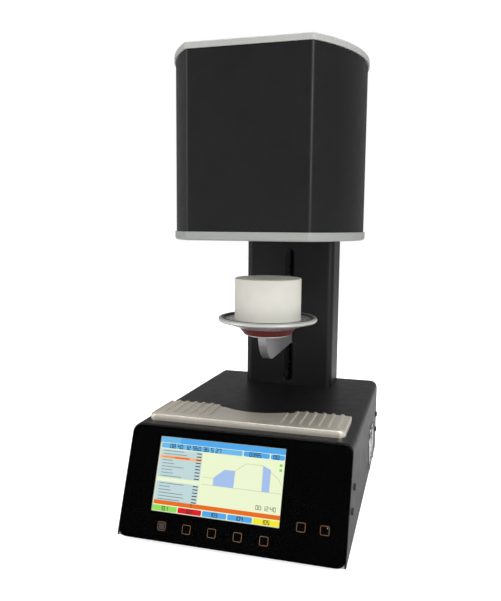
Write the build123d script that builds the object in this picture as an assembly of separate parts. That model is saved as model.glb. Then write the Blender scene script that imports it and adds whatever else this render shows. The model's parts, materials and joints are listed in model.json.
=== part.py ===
from build123d import *
import os
from math import acos, atan, cos, degrees, radians, sin, sqrt, tan

# Dental porcelain furnace. A screw drive in the column lifts a refractory pedestal into a heated
# vacuum head, and the seal on the lift plate closes the chamber from below.
# Millimetres. +Z is up, +Y is to the back, X runs across. The origin is on the surface that the
# feet stand on, in the middle of the whole outline.

# General fits
FIT = 0.2  # gap between two fixed pieces where one sits inside the other
RUN = 0.05  # radial clearance of a shaft in its bearing or bush
MOVE = 0.5  # gap between a moving piece and what it passes
SCREW_R = 2.0  # M4 screws of the housings
SCREW_HEAD_R = 4.2
SCREW_PLAY = 0.2  # radial clearance of a screw in a sheet

# Base housing
BASE_WIDTH = 270.0
TOP_DEPTH = 352.0  # the sloping top, from its front edge to the rear, measured level
TOP_DROP = 10.5  # how far the top falls towards the rear
PANEL_LENGTH = 132.4  # the front panel, down its slant
PANEL_TILT = 22.5  # the front panel, degrees back from upright
HOUSING_RADIUS = 11.0
SHEET = 2.0
FLOOR = 2.5
REAR_RECESS = 2.0  # the rear panel lies this far inside the cover's rear edge
REAR_SHEET = 2.0
FOOT_HEIGHT = 8.0
FOOT_R = 13.0
FOOT_INSET = 26.0  # foot axis from the housing's sides and rear
SIDE_REACH = 2.6  # how far screw heads and the fan guard stand out of the sides

# Hose nipple of the vacuum line, the piece that stands out furthest at the rear
NIPPLE_R = 4.0
NIPPLE_BORE_R = 2.4
NIPPLE_REACH = 14.0  # beyond the cover's rear edge
NIPPLE_STUB = 12.0  # plain length that takes the hose
NIPPLE_THREAD = 12.0  # length inside the rear panel

# Front panel
GLASS = 4.0
GLASS_EDGE = 0.8
FILM = 0.4
CARRIER = 12.0
CARRIER_RADIUS = 10.0
LEDGE = 6.2  # what is left of the carrier behind the display
SCREEN_WIDTH = 154.1
SCREEN_HEIGHT = 85.9
SCREEN_X = -19.1
SCREEN_S = 55.3  # screen centre, down the slant from the panel's top edge
SCREEN_DEPTH = 6.0  # lit face behind the glass's front
SCREEN_SHEET = 1.0
DISPLAY_BORDER = 5.5  # display frame round the lit area, at the sides
DISPLAY_DEPTH = 5.6
KEY_PITCH = 30.8
KEY_COUNT = 5
KEY_S = 114.4
SIDE_KEY_S = 94.4
SIDE_KEY_X = 82.8
SIDE_KEY_PITCH = 26.5
BOARD = 1.6

# Cooling tray
TRAY_WIDTH = 245.0
TRAY_DEPTH = 78.0
TRAY_THICK = 8.0
TRAY_SETBACK = 19.5  # behind the top's front edge
TRAY_RADIUS = 9.0
TRAY_EDGE = 2.5
TRAY_LIP = 14.0  # plain band along the front
RIB_COUNT = 8
RIB_FIRST = 41.0  # first rib from the middle
RIB_PITCH = 11.6
RIB_WIDTH = 3.4
RIB_HEIGHT = 2.0
TRAY_GAP = 3.5  # between the lift plate's rim, seen from above, and the tray's arc

# Column
COLUMN_WIDTH = 138.0
COLUMN_SETBACK = 278.8
COLUMN_DEPTH = 68.7
COLUMN_WALL = 2.5
COLUMN_RADIUS = 9.5
COLUMN_LIP = 13.0  # inward return at the rear, which the back cover is screwed to
COLUMN_BELOW_TOP = 8.0  # column top below the head's top
CAP = 4.0
SLOT_WIDTH = 14.0
SLOT_RIM = 0.8
SLOT_BOTTOM = 119.5  # above the housing's bottom
SLOT_TOP = 329.4
SPINE = 8.0
SPINE_WIDTH = 96.0
SPINE_GAP = 3.4  # between the spine and the column's rear lips

# Screw drive
ROD_R = 6.0
ROD_X = 38.0
SCREW_SHAFT_R = 5.0
THREAD_DEPTH = 0.9
THREAD_PITCH = 5.0
DRIVE_SETBACK = 22.0  # rod and screw axes ahead of the spine
BLOCK = 12.0
BLOCK_WIDTH = 104.0
LOWER_BLOCK_BOTTOM = 88.0
UPPER_BLOCK_BOTTOM = 338.0
BEARING_R = 13.0
BEARING_H = 8.0
CARRIAGE_WIDTH = 104.0
CARRIAGE_HEIGHT = 50.0
CARRIAGE_FRONT = 18.0  # carriage front ahead of the rod axes
CARRIAGE_REAR = 15.0
BUSH_R = 9.0
BUSH_LENGTH = 16.0
NUT_R = 9.0
NUT_FLANGE_R = 14.0
NUT_FLANGE = 4.0
MOTOR_SIDE = 42.3
MOTOR_HOLE = 15.5  # screw places from the shaft, both ways
MOTOR_LENGTH = 46.0
MOTOR_PLATE = 6.0
MOTOR_PLATE_BOTTOM = 58.0
MOTOR_PILOT_R = 11.0
MOTOR_SHAFT_R = 2.5
COUPLING_R = 10.0
COUPLING_LENGTH = 19.0

# Lift, seen in the position of the photograph
LIFT_SETBACK = 139.8
ARM = 11.0
ARM_TOP = 217.0
ARM_HEIGHT = 35.0
ARM_NOSE_R = 43.0
ARM_NOSE_AHEAD = 30.0  # the arm's front end ahead of the lift axis, at its top
ARM_FLANGE = 5.0
ARM_FLANGE_WIDTH = 44.0
SUPPORT_R = 29.0
SUPPORT = 1.6
INSULATOR_R = 39.0
INSULATOR_FOOT_R = 32.0
INSULATOR = 9.0
PLATE_R = 67.0
PLATE_RIM = 5.7
PLATE_RECESS = 2.5  # the plate's floor below its rim
PLATE_CONE_R = 62.0
PLATE_CONE = 8.4
SEAL_R = 61.0
SEAL_WIDTH = 4.0
SEAL_SQUEEZE = 0.3  # how far the seal stands above the rim
SEAL_GAP = 0.3  # left between seal and mouth ring in the closed position
PEDESTAL_R = 45.0
PEDESTAL_HEIGHT = 55.5
PEDESTAL_EDGE = 1.5
LIFT_DOWN = 59.0
BOLT_R = 3.0

# Head
HEAD_SETBACK = 27.4
HEAD_BOTTOM = 346.5  # above the housing's bottom
HEAD_HEIGHT = 230.5
HEAD_SIDE_R = 185.0
HEAD_HALF_WIDTH = 125.0
HEAD_WIDEST = 153.0  # widest place behind the top's front edge
HEAD_CORNER = 8.0
HEAD_BOTTOM_PLATE = 10.5
HEAD_TOP_PLATE = 8.0
HEAD_LIP = 1.8  # the plates stand out past the shell
HEAD_SHEET = 1.5
PLATE_ROUND = 3.5
BRACKET = 5.0
BRACKET_WIDTH = 100.0
BRACKET_HEIGHT = 93.0
BRACKET_FOOT = 34.0
MOUNT_WIDTH = 80.0
MOUNT_RISE = 13.0  # head mount above the bottom plate
MOUNT_HEIGHT = 78.0
MOUNT_WALL = 12.0
HEAD_BOLT_X = 30.0
HEAD_BOLT_LENGTH = 24.0

# Vacuum chamber
MOUTH_GAP = 3.0  # pedestal to mouth
SEAT_R = 72.0
MUFFLE_WALL = 2.5
MUFFLE_STEP = 4.0
MUFFLE_HEIGHT = 113.0
COIL_WIRE_R = 1.6
COIL_TURNS = 12
COIL_PITCH = 7.6
INSULATION_R = 82.5
INSULATION_LID = 34.0
POT_WALL = 2.0
POT_FLANGE_R = 98.0
POT_FLANGE = 4.0
POT_ROUND = 10.0
GASKET = 1.5
POT_BOLTS = 8
THERMOCOUPLE_R = 2.2
THERMOCOUPLE_DIP = 12.0  # how far the tip reaches into the chamber
TERMINAL_X = 52.0

# Side fan
FAN_SIDE = 60.0
FAN_DEPTH = 15.0
FAN_BORE_R = 28.5
FAN_HUB_R = 14.0
FAN_BLADES = 7
FAN_SETBACK = 247.0
FAN_RISE = 38.0
FAN_HOLE = 25.0
GUARD_WIRE_R = 0.8
GUARD_RINGS = (8.0, 15.5, 23.0, 30.5)

# Rear panel fittings, as places across and above the housing's bottom
INLET_X = 106.0
INLET_WIDTH = 27.0
INLET_HEIGHT = 20.0
INLET_DEPTH = 18.0
SOCKET_X = 64.0
FITTING_Z = 40.0
FITTING_FLANGE = 3.0
SWITCH_X = 106.0
SWITCH_Z = 78.0
SWITCH_WIDTH = 27.0
SWITCH_HEIGHT = 20.0
SWITCH_SWING = 16.0  # degrees from off to on
FUSE_X = 76.0
FUSE_PITCH = 20.0
FUSE_R = 6.0
NIPPLE_X = -96.0
NIPPLE_Z = 60.0

# Base internals, as places behind the top's front edge
TOROID_R = 52.0
TOROID_H = 44.0
TOROID_HOLE_R = 16.0
TOROID_X = -66.0
TOROID_SETBACK = 120.0
POWER_BOARD_WIDTH = 96.0
POWER_BOARD_DEPTH = 150.0
POWER_BOARD_X = 52.0
POWER_BOARD_SETBACK = 100.0
SPACER = 8.0
SPACER_R = 3.0
VALVE_SIZE = 30.0

# Places that follow from the sizes above
PANEL_RISE = PANEL_LENGTH * cos(radians(PANEL_TILT))
PANEL_RUN = PANEL_LENGTH * sin(radians(PANEL_TILT))
DEPTH = PANEL_RUN + TOP_DEPTH + NIPPLE_REACH
FRONT_Y = PANEL_RUN - DEPTH / 2
REAR_Y = FRONT_Y + TOP_DEPTH
BASE_Z = FOOT_HEIGHT
FLOOR_Z = BASE_Z + FLOOR
TOP_Z = BASE_Z + PANEL_RISE
TOP_SLOPE = degrees(atan(TOP_DROP / TOP_DEPTH))
LIFT_Y = FRONT_Y + LIFT_SETBACK
COLUMN_Y = FRONT_Y + COLUMN_SETBACK
COLUMN_REAR_Y = COLUMN_Y + COLUMN_DEPTH
HEAD_Z = BASE_Z + HEAD_BOTTOM
HEAD_TOP_Z = HEAD_Z + HEAD_HEIGHT
HEAD_FLOOR_Z = HEAD_Z + HEAD_BOTTOM_PLATE
COLUMN_TOP_Z = HEAD_TOP_Z - COLUMN_BELOW_TOP
BACK_COVER_Y = COLUMN_REAR_Y - COLUMN_WALL
SPINE_REAR_Y = BACK_COVER_Y - COLUMN_WALL - SPINE_GAP
SPINE_Y = SPINE_REAR_Y - SPINE
DRIVE_Y = SPINE_Y - DRIVE_SETBACK
ARM_Z = BASE_Z + ARM_TOP
PLATE_BOTTOM_Z = ARM_Z + SUPPORT + INSULATOR
RIM_Z = PLATE_BOTTOM_Z + PLATE_CONE + PLATE_RIM
PEDESTAL_Z = RIM_Z - PLATE_RECESS
LIFT_UP = HEAD_Z - RIM_Z - SEAL_SQUEEZE - SEAL_GAP
CARRIAGE_Z = ARM_Z - ARM_HEIGHT - (CARRIAGE_HEIGHT - ARM_HEIGHT) / 4
BEHIND_PANEL = GLASS + FILM
MOUTH_R = PEDESTAL_R + MOUTH_GAP
MUFFLE_R = MOUTH_R + MUFFLE_WALL
COIL_R = MUFFLE_R + FIT + COIL_WIRE_R
COIL_SPACE_R = COIL_R + COIL_WIRE_R + FIT
MUFFLE_Z = HEAD_Z + MUFFLE_STEP
LID_Z = MUFFLE_Z + MUFFLE_HEIGHT
POT_R = INSULATION_R + FIT
POT_TOP_Z = LID_Z + INSULATION_LID + POT_WALL + FIT

# Planes that slanted pieces are drawn on
PANEL = Plane(
    origin=(0, FRONT_Y, TOP_Z),
    x_dir=(1, 0, 0),
    z_dir=(0, -cos(radians(PANEL_TILT)), sin(radians(PANEL_TILT))),
)
DECK = Plane(
    origin=(0, FRONT_Y, TOP_Z),
    x_dir=(1, 0, 0),
    z_dir=(0, sin(radians(TOP_SLOPE)), cos(radians(TOP_SLOPE))),
)


def slab(x_range, y_range, z_range):
    """A box between a low and a high value each way."""
    ranges = (x_range, y_range, z_range)
    middle = [(low + high) / 2 for low, high in ranges]
    return Pos(*middle) * Box(*[high - low for low, high in ranges])


def rod(x, y, z_range, radius):
    """An upright round bar."""
    low, high = z_range
    return Pos(x, y, (low + high) / 2) * Cylinder(radius, high - low)


def rod_back(x, z, y_range, radius):
    """A round bar that runs to the back."""
    low, high = y_range
    return Pos(x, (low + high) / 2, z) * Rot(90, 0, 0) * Cylinder(radius, high - low)


def turned(points, x=0.0, y=LIFT_Y):
    """A piece turned about an upright axis from its (radius, z) outline."""
    outline = Polyline(*[(radius, 0, z) for radius, z in points], close=True)
    return Pos(x, y, 0) * revolve(make_face(outline), Axis.Z)


def ring(inner, outer, z_range, x=0.0, y=LIFT_Y):
    """A plain upright ring."""
    low, high = z_range
    return turned([(inner, low), (outer, low), (outer, high), (inner, high)], x, y)


def panel_plate(x_range, s_range, depth_range, radius=0.0):
    """A plate parallel to the front panel: s runs down the slant, depth runs into the housing."""
    width = x_range[1] - x_range[0]
    length = s_range[1] - s_range[0]
    outline = RectangleRounded(width, length, radius) if radius else Rectangle(width, length)
    plate = extrude(outline, depth_range[1] - depth_range[0])
    return PANEL * Pos(sum(x_range) / 2, -sum(s_range) / 2, -depth_range[1]) * plate


def about(middle, size):
    """The low and high value of a length about its middle."""
    return (middle - size / 2, middle + size / 2)


def grown(value_range, amount):
    """The same range, longer by amount at each end."""
    return (value_range[0] - amount, value_range[1] + amount)


def housing_block(inset, setback, rear, floor):
    """The base's outline as a solid, pulled in at top and sides and cut back behind the panel."""
    half = BASE_WIDTH / 2 - inset
    block = slab((-half, half), (FRONT_Y - 2 * PANEL_RUN, rear), (floor, TOP_Z + PANEL_RISE))
    block = split(block, bisect_by=DECK.offset(-inset), keep=Keep.BOTTOM)
    block = split(block, bisect_by=PANEL.offset(-setback), keep=Keep.BOTTOM)
    ridges = block.edges().filter_by(Axis(DECK.origin, DECK.y_dir)).group_by(Axis.Z)[-1]
    return fillet(ridges, HOUSING_RADIUS - inset)


def cover_screw_places():
    """Y and Z of the cover screws on one side: two follow the slanted front, two are at the rear."""
    front = [(FRONT_Y + 14.0, BASE_Z + 68.0), (FRONT_Y - 3.0, BASE_Z + 46.0)]
    rear = [(REAR_Y - 14.0, BASE_Z + 60.0), (REAR_Y - 20.0, BASE_Z + 37.0)]
    return front + rear


def across(x_range, y, z, radius):
    """A round bar that runs across."""
    low, high = x_range
    return Pos((low + high) / 2, y, z) * Rot(0, 90, 0) * Cylinder(radius, high - low)


def foot_places():
    """X and Y of the four feet."""
    side = BASE_WIDTH / 2 - FOOT_INSET
    return [(x, y) for x in (-side, side) for y in (FRONT_Y - 8.0, REAR_Y - FOOT_INSET)]


def tray_screw_places():
    """X and Y of the screws that hold the tray from below."""
    y = FRONT_Y + TRAY_SETBACK + TRAY_DEPTH / 3
    return [(-TRAY_WIDTH / 3, y), (TRAY_WIDTH / 3, y)]


def toroid_place():
    """X and Y of the transformer's axis."""
    return TOROID_X, FRONT_Y + TOROID_SETBACK


FAN = Plane(
    origin=(BASE_WIDTH / 2, FRONT_Y + FAN_SETBACK, BASE_Z + FAN_RISE),
    x_dir=(0, 1, 0),
    z_dir=(1, 0, 0),
)


def fan_corners():
    """The fan's four screw places in its own plane."""
    return [(u, v) for u in (-FAN_HOLE, FAN_HOLE) for v in (-FAN_HOLE, FAN_HOLE)]


def fan_drum(radius, depth_range):
    """A disc about the fan's axis: depth runs inwards from the housing's side."""
    low, high = depth_range
    return FAN * Pos(0, 0, -(low + high) / 2) * Cylinder(radius, high - low)


def rear_fittings():
    """The rear panel's cut-outs as x, z, width, height."""
    inlet = (INLET_X, BASE_Z + FITTING_Z, INLET_WIDTH, INLET_HEIGHT)
    socket = (SOCKET_X, BASE_Z + FITTING_Z, INLET_WIDTH, INLET_HEIGHT)
    switch = (SWITCH_X, BASE_Z + SWITCH_Z, SWITCH_WIDTH, SWITCH_HEIGHT)
    return {"inlet": inlet, "socket": socket, "switch": switch}


def base_cover():
    """Top and sides in one bent sheet, with the fan opening, air slots and screw holes."""
    cover = housing_block(0, BEHIND_PANEL, REAR_Y, BASE_Z)
    cover -= housing_block(SHEET, -BEHIND_PANEL, REAR_Y + SHEET, BASE_Z - SHEET)
    cover -= fan_drum(FAN_BORE_R, (-SHEET, 2 * SHEET))
    for u, v in fan_corners():
        cover -= FAN * Pos(u, v, 0) * Cylinder(1.5 + SCREW_PLAY, 4 * SHEET)
    for number in range(9):
        y = FRONT_Y + FAN_SETBACK - 40.0 + 10.0 * number
        cover -= slab((-BASE_WIDTH, -BASE_WIDTH / 4), about(y, 4.0), about(BASE_Z + FAN_RISE, 44.0))
    for y, z in cover_screw_places():
        cover -= across((-BASE_WIDTH, BASE_WIDTH), y, z, SCREW_R + SCREW_PLAY)
    for x, y in tray_screw_places():
        cover -= rod(x, y, (FLOOR_Z, TOP_Z + SHEET), SCREW_R + SCREW_PLAY)
    opening = about(0, SPINE_WIDTH + 20.0)
    cover -= slab(opening, (COLUMN_Y + 14.0, BACK_COVER_Y - COLUMN_WALL), (FLOOR_Z + 50.0, TOP_Z))
    return cover


def base_chassis():
    """Floor with upright ears at the sides, which the cover is screwed to."""
    inner = BASE_WIDTH / 2 - SHEET - FIT
    floor = slab((-inner, inner), (FRONT_Y - 2 * PANEL_RUN, REAR_Y - REAR_RECESS), (BASE_Z, FLOOR_Z))
    floor = split(floor, bisect_by=PANEL.offset(-BEHIND_PANEL), keep=Keep.BOTTOM)
    chassis = floor
    ear_top = BASE_Z + 78.0
    ear_behind = CARRIER + BEHIND_PANEL
    for side in (-1, 1):
        x_range = sorted((side * inner, side * (inner - SHEET)))
        front = slab(x_range, (FRONT_Y - 40.0, FRONT_Y + 26.0), (FLOOR_Z, ear_top))
        front = split(front, bisect_by=PANEL.offset(-ear_behind), keep=Keep.BOTTOM)
        rear = slab(x_range, (REAR_Y - 34.0, REAR_Y - REAR_RECESS - REAR_SHEET), (FLOOR_Z, ear_top))
        chassis += front + rear
    for y, z in cover_screw_places():
        chassis -= across((-BASE_WIDTH, BASE_WIDTH), y, z, SCREW_R)
    for x, y in foot_places():
        chassis -= rod(x, y, (BASE_Z - SHEET, FLOOR_Z + SHEET), SCREW_R)
    for number in range(7):
        y = FRONT_Y + TOROID_SETBACK - 36.0 + 12.0 * number
        chassis -= slab(about(POWER_BOARD_X, 60.0), about(y, 4.0), (BASE_Z - 1, FLOOR_Z + 1))
    chassis -= rod(*toroid_place(), (BASE_Z - SHEET, FLOOR_Z + SHEET), BOLT_R)
    return chassis


def rear_panel():
    """Rear sheet between the cover's sides, cut out for the connections."""
    y_range = (REAR_Y - REAR_RECESS - REAR_SHEET, REAR_Y - REAR_RECESS)
    panel = housing_block(SHEET + FIT, 0, y_range[1], FLOOR_Z)
    panel = split(panel, bisect_by=Plane.XZ.offset(-y_range[0]), keep=Keep.BOTTOM)
    for x, z, width, height in rear_fittings().values():
        panel -= slab(about(x, width + 2 * FIT), grown(y_range, 1), about(z, height + 2 * FIT))
    for number in range(2):
        z = BASE_Z + SWITCH_Z
        panel -= rod_back(FUSE_X - FUSE_PITCH * number, z, grown(y_range, 1), FUSE_R + FIT)
    panel -= rod_back(NIPPLE_X, BASE_Z + NIPPLE_Z, grown(y_range, 1), NIPPLE_R + 1 + FIT)
    return panel


def feet():
    """Four rubber feet with a recess for their screws."""
    outline = [(SCREW_R, BASE_Z), (SCREW_R, 4.0), (6.0, 4.0), (6.0, 0), (FOOT_R - 2, 0)]
    outline += [(FOOT_R, BASE_Z)]
    return [turned(outline, x, y) for x, y in foot_places()]


def foot_screws():
    """Pan-head screws through the feet into the chassis floor."""
    outline = [(0, 1.5), (SCREW_HEAD_R, 1.5), (SCREW_HEAD_R, 4.0), (SCREW_R, 4.0)]
    outline += [(SCREW_R, FLOOR_Z + 2), (0, FLOOR_Z + 2)]
    return [turned(outline, x, y) for x, y in foot_places()]


def cover_screws():
    """Button-head screws through the cover into the chassis ears, four on each side."""
    inner = BASE_WIDTH / 2 - SHEET - FIT - SHEET
    screws = []
    for side in (-1, 1):
        for y, z in cover_screw_places():
            shank = across(sorted((side * (inner - 2), side * BASE_WIDTH / 2)), y, z, SCREW_R)
            x_range = sorted((side * BASE_WIDTH / 2, side * (BASE_WIDTH / 2 + SIDE_REACH)))
            head = across(x_range, y, z, SCREW_HEAD_R)
            crown = head.edges().filter_by(GeomType.CIRCLE).sort_by(Axis.X)[-1 if side > 0 else 0]
            screws.append(shank + fillet(crown, SIDE_REACH * 0.6))
    return screws


def front_glass():
    """Glass panel over the whole front, with rounded corners and a softened front edge."""
    glass = panel_plate(about(0, BASE_WIDTH), (0, PANEL_LENGTH), (0, GLASS), HOUSING_RADIUS)
    front = glass.faces().sort_by(Axis(PANEL.origin, PANEL.z_dir))[-1]
    return fillet(front.edges(), GLASS_EDGE)


def glass_print():
    """Opaque back print of the glass, with the display's window and the key outlines."""
    s_range = (1.0, PANEL_LENGTH - 1.0)
    sheet = panel_plate(
        about(0, BASE_WIDTH - 2), s_range, (GLASS, GLASS + FILM), HOUSING_RADIUS - 1
    )
    window = (about(SCREEN_X, SCREEN_WIDTH + 1), about(SCREEN_S, SCREEN_HEIGHT + 1))
    return sheet - panel_plate(*window, (GLASS - 1, GLASS + FILM + 1), 1.0)


def display_outline(extra, depth_range):
    """The display module's outline, grown by extra all round."""
    width = SCREEN_WIDTH + 2 * (DISPLAY_BORDER + extra)
    height = SCREEN_HEIGHT + 2 * (DISPLAY_BORDER + 1.5 + extra)
    return panel_plate(about(SCREEN_X, width), about(SCREEN_S, height), depth_range, 1.5)


def display_frame():
    """Metal frame of the display, with the lit sheet sunk into its front."""
    frame = display_outline(0, (BEHIND_PANEL, BEHIND_PANEL + DISPLAY_DEPTH))
    x_range = about(SCREEN_X, SCREEN_WIDTH + 2 * FIT)
    s_range = about(SCREEN_S, SCREEN_HEIGHT + 2 * FIT)
    return frame - panel_plate(x_range, s_range, (0, SCREEN_DEPTH + SCREEN_SHEET))


def display_screen():
    """The lit sheet of the display."""
    x_range = about(SCREEN_X, SCREEN_WIDTH)
    s_range = about(SCREEN_S, SCREEN_HEIGHT)
    return panel_plate(x_range, s_range, (SCREEN_DEPTH, SCREEN_DEPTH + SCREEN_SHEET))


def key_centres():
    """X and s of the touch keys."""
    first = SCREEN_X - KEY_PITCH * (KEY_COUNT - 1) / 2
    keys = [(first + KEY_PITCH * number, KEY_S) for number in range(KEY_COUNT)]
    return keys + [(SIDE_KEY_X, SIDE_KEY_S), (SIDE_KEY_X + SIDE_KEY_PITCH, SIDE_KEY_S)]


def key_board_outline(extra, depth_range):
    """Outline of the key board: a strip under the display and a tab to the right-hand keys."""
    xs = [x for x, s in key_centres()]
    low, high = min(xs) - 9.0, max(xs) + 9.0
    strip = (low - extra, high + extra), (KEY_S - 6.5 - extra, KEY_S + 8.0 + extra)
    tab = (SIDE_KEY_X - 9.0 - extra, high + extra), (SIDE_KEY_S - 9.0 - extra, KEY_S)
    return panel_plate(*strip, depth_range) + panel_plate(*tab, depth_range)


def key_board():
    """Board with the sensor pads of the touch keys, close behind the glass."""
    return key_board_outline(0, (BEHIND_PANEL, BEHIND_PANEL + BOARD))


def panel_carrier():
    """Moulded carrier that closes the housing's front and holds the glass, display and board."""
    inner = BASE_WIDTH / 2 - SHEET - FIT
    s_top = SHEET + 2 * FIT
    depth = (BEHIND_PANEL, BEHIND_PANEL + CARRIER)
    carrier = panel_plate((-inner, inner), (s_top, PANEL_LENGTH), depth, CARRIER_RADIUS)
    below = slab((-BASE_WIDTH, BASE_WIDTH), (-DEPTH, DEPTH), (-BASE_Z, FLOOR_Z))
    carrier -= below
    carrier -= display_outline(FIT, (0, depth[1] - LEDGE))
    carrier -= panel_plate(about(SCREEN_X, 150.0), about(SCREEN_S, 80.0), (0, 2 * depth[1]))
    carrier -= key_board_outline(FIT, (0, BEHIND_PANEL + BOARD))
    right = (SCREEN_X + SCREEN_WIDTH / 2 + 16.0, inner - 6.0)
    carrier -= panel_plate(right, (s_top + 8, SIDE_KEY_S - 16), (depth[0] + 3, 2 * depth[1]), 3.0)
    left = (-inner + 5.0, SCREEN_X - SCREEN_WIDTH / 2 - 12.0)
    carrier -= panel_plate(left, (s_top + 8, KEY_S - 14), (depth[0] + 3, 2 * depth[1]), 3.0)
    return carrier


def control_board_centres():
    """X and s of the control board's spacers."""
    return [(SCREEN_X + u, SCREEN_S + v) for u in (-80.0, 80.0) for v in (-30.0, 30.0)]


def control_board():
    """Control board behind the display, with its processor, connectors and capacitors."""
    front = BEHIND_PANEL + CARRIER + SPACER
    back = front + BOARD
    board = panel_plate(about(SCREEN_X, 170.0), about(SCREEN_S, 72.0), (front, back))
    board += panel_plate(about(SCREEN_X - 20, 24.0), about(SCREEN_S - 6, 24.0), (back, back + 2.5))
    for x in (-50.0, 10.0, 45.0):
        board += panel_plate(about(SCREEN_X + x, 24.0), about(SCREEN_S + 30, 8.0), (back, back + 9))
    for number in range(3):
        place = Pos(SCREEN_X + 36.0 + 12.0 * number, 10.0 - SCREEN_S, -(back + 5.5))
        board += PANEL * place * Cylinder(4.5, 11.0)
    return board


def control_board_spacers():
    """Four spacers between the carrier and the control board."""
    middle = BEHIND_PANEL + CARRIER + SPACER / 2
    places = [PANEL * Pos(x, -s, -middle) for x, s in control_board_centres()]
    return [place * Cylinder(SPACER_R, SPACER) for place in places]


def cooling_tray():
    """Ribbed aluminium plate on the sloping top, with an arc cut out under the lift plate."""
    centre_y = TRAY_SETBACK + TRAY_DEPTH / 2
    outline = Pos(0, centre_y) * RectangleRounded(TRAY_WIDTH, TRAY_DEPTH, TRAY_RADIUS)
    outline -= Pos(0, LIFT_SETBACK) * Circle(PLATE_R + TRAY_GAP)
    tray = extrude(outline, TRAY_THICK)
    tray = fillet(tray.faces().sort_by(Axis.Z)[-1].edges(), TRAY_EDGE)
    rear = TRAY_SETBACK + TRAY_DEPTH + 1
    valley_depth = rear - TRAY_SETBACK - TRAY_LIP
    valley = RIB_PITCH - RIB_WIDTH
    for side in (-1, 1):
        for number in range(RIB_COUNT - 1):
            x = side * (RIB_FIRST + RIB_PITCH * (number + 0.5))
            groove = Box(valley, valley_depth, 2 * RIB_HEIGHT)
            groove = fillet(groove.edges().filter_by(Axis.Y).group_by(Axis.Z)[0], RIB_HEIGHT * 0.6)
            tray -= Pos(x, rear - valley_depth / 2, TRAY_THICK) * groove
    for x, y in tray_screw_places():
        tray -= Pos(x, y - FRONT_Y, 0) * Cylinder(SCREW_R, TRAY_THICK)
    return DECK * tray


def tray_screws():
    """Two screws from inside the housing up into the tray."""
    screws = []
    for x, y in tray_screw_places():
        head = Pos(0, 0, -SHEET - 1.2) * Cylinder(SCREW_HEAD_R, 2.4)
        shank = Pos(0, 0, (TRAY_THICK / 2 - SHEET) / 2) * Cylinder(SCREW_R, TRAY_THICK / 2 + SHEET)
        screws.append(DECK * Pos(x, y - FRONT_Y, 0) * (head + shank))
    return screws


def column_outline(inset, rear):
    """The column's plan with rounded front corners, as a sketch."""
    width = COLUMN_WIDTH - 2 * inset
    y_range = (COLUMN_Y + inset, rear)
    plan = Pos(0, sum(y_range) / 2) * Rectangle(width, y_range[1] - y_range[0])
    front = plan.vertices().group_by(Axis.Y)[0]
    return fillet(front, COLUMN_RADIUS - inset)


def above_deck(solid):
    """What of a solid lies above the sloping top."""
    return split(solid, bisect_by=DECK, keep=Keep.TOP)


def head_bolt_places():
    """X and Z of the bolts between head and column."""
    low = HEAD_FLOOR_Z + MOUNT_RISE + MOUNT_WALL + 2
    high = HEAD_FLOOR_Z + MOUNT_RISE + MOUNT_HEIGHT - MOUNT_WALL - 2
    return [(x, z) for x in (-HEAD_BOLT_X, HEAD_BOLT_X) for z in (low, high)]


def back_screw_places():
    """X and Z of the screws of the column's back cover."""
    x = COLUMN_WIDTH / 2 - COLUMN_WALL - COLUMN_LIP / 2
    low, high = TOP_Z + 8.0, COLUMN_TOP_Z - CAP - 14.0
    heights = [low + (high - low) * step / 3 for step in range(4)]
    return [(side * x, z) for side in (-1, 1) for z in heights]


def column_shell():
    """Front and sides of the column in one bent sheet, with inward lips at the rear and the slot."""
    rear = BACK_COVER_Y
    z_range = (TOP_Z - TOP_DROP - 1, COLUMN_TOP_Z - CAP)
    height = z_range[1] - z_range[0]
    shell = extrude(column_outline(0, rear) - column_outline(COLUMN_WALL, rear + 1), height)
    for side in (-1, 1):
        edge = side * (COLUMN_WIDTH / 2 - COLUMN_WALL)
        lip = sorted((edge, edge - side * COLUMN_LIP))
        shell += slab(lip, (rear - COLUMN_WALL, rear), (0, height))
    shell = above_deck(Pos(0, 0, z_range[0]) * shell)
    length = SLOT_TOP - SLOT_BOTTOM
    slot = extrude(Plane.XZ * SlotOverall(length, SLOT_WIDTH, rotation=90), COLUMN_WALL * 2, both=True)
    shell -= Pos(0, COLUMN_Y, BASE_Z + SLOT_BOTTOM + length / 2) * slot
    front = shell.faces().filter_by(Plane.XZ).sort_by(Axis.Y)[0]
    shell = chamfer(front.inner_wires()[0].edges(), SLOT_RIM)
    for x, z in head_bolt_places():
        shell -= rod_back(x, z, (COLUMN_Y - 1, COLUMN_Y + 2 * COLUMN_WALL), BOLT_R + SCREW_PLAY)
    for x, z in back_screw_places():
        shell -= rod_back(x, z, (rear - 2 * COLUMN_WALL, rear + 1), 1.5)
    return shell


def column_back():
    """Flat cover that closes the column's rear."""
    half = COLUMN_WIDTH / 2
    z_range = (TOP_Z - TOP_DROP - 1, COLUMN_TOP_Z - CAP)
    cover = above_deck(slab((-half, half), (BACK_COVER_Y, COLUMN_REAR_Y), z_range))
    for x, z in back_screw_places():
        cover -= rod_back(x, z, (BACK_COVER_Y - 1, COLUMN_REAR_Y + 1), 1.5 + SCREW_PLAY)
    return cover


def column_screws():
    """Screws of the column's back cover."""
    screws = []
    for x, z in back_screw_places():
        shank = rod_back(x, z, (BACK_COVER_Y - COLUMN_WALL - 2, COLUMN_REAR_Y), 1.5)
        screws.append(shank + rod_back(x, z, (COLUMN_REAR_Y, COLUMN_REAR_Y + 2), 3.0))
    return screws


def column_cap():
    """Plate on top of the column."""
    cap = extrude(column_outline(0, COLUMN_REAR_Y), CAP)
    cap = fillet(cap.faces().sort_by(Axis.Z)[-1].edges(), 1.2)
    return Pos(0, 0, COLUMN_TOP_Z - CAP) * cap


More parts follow.
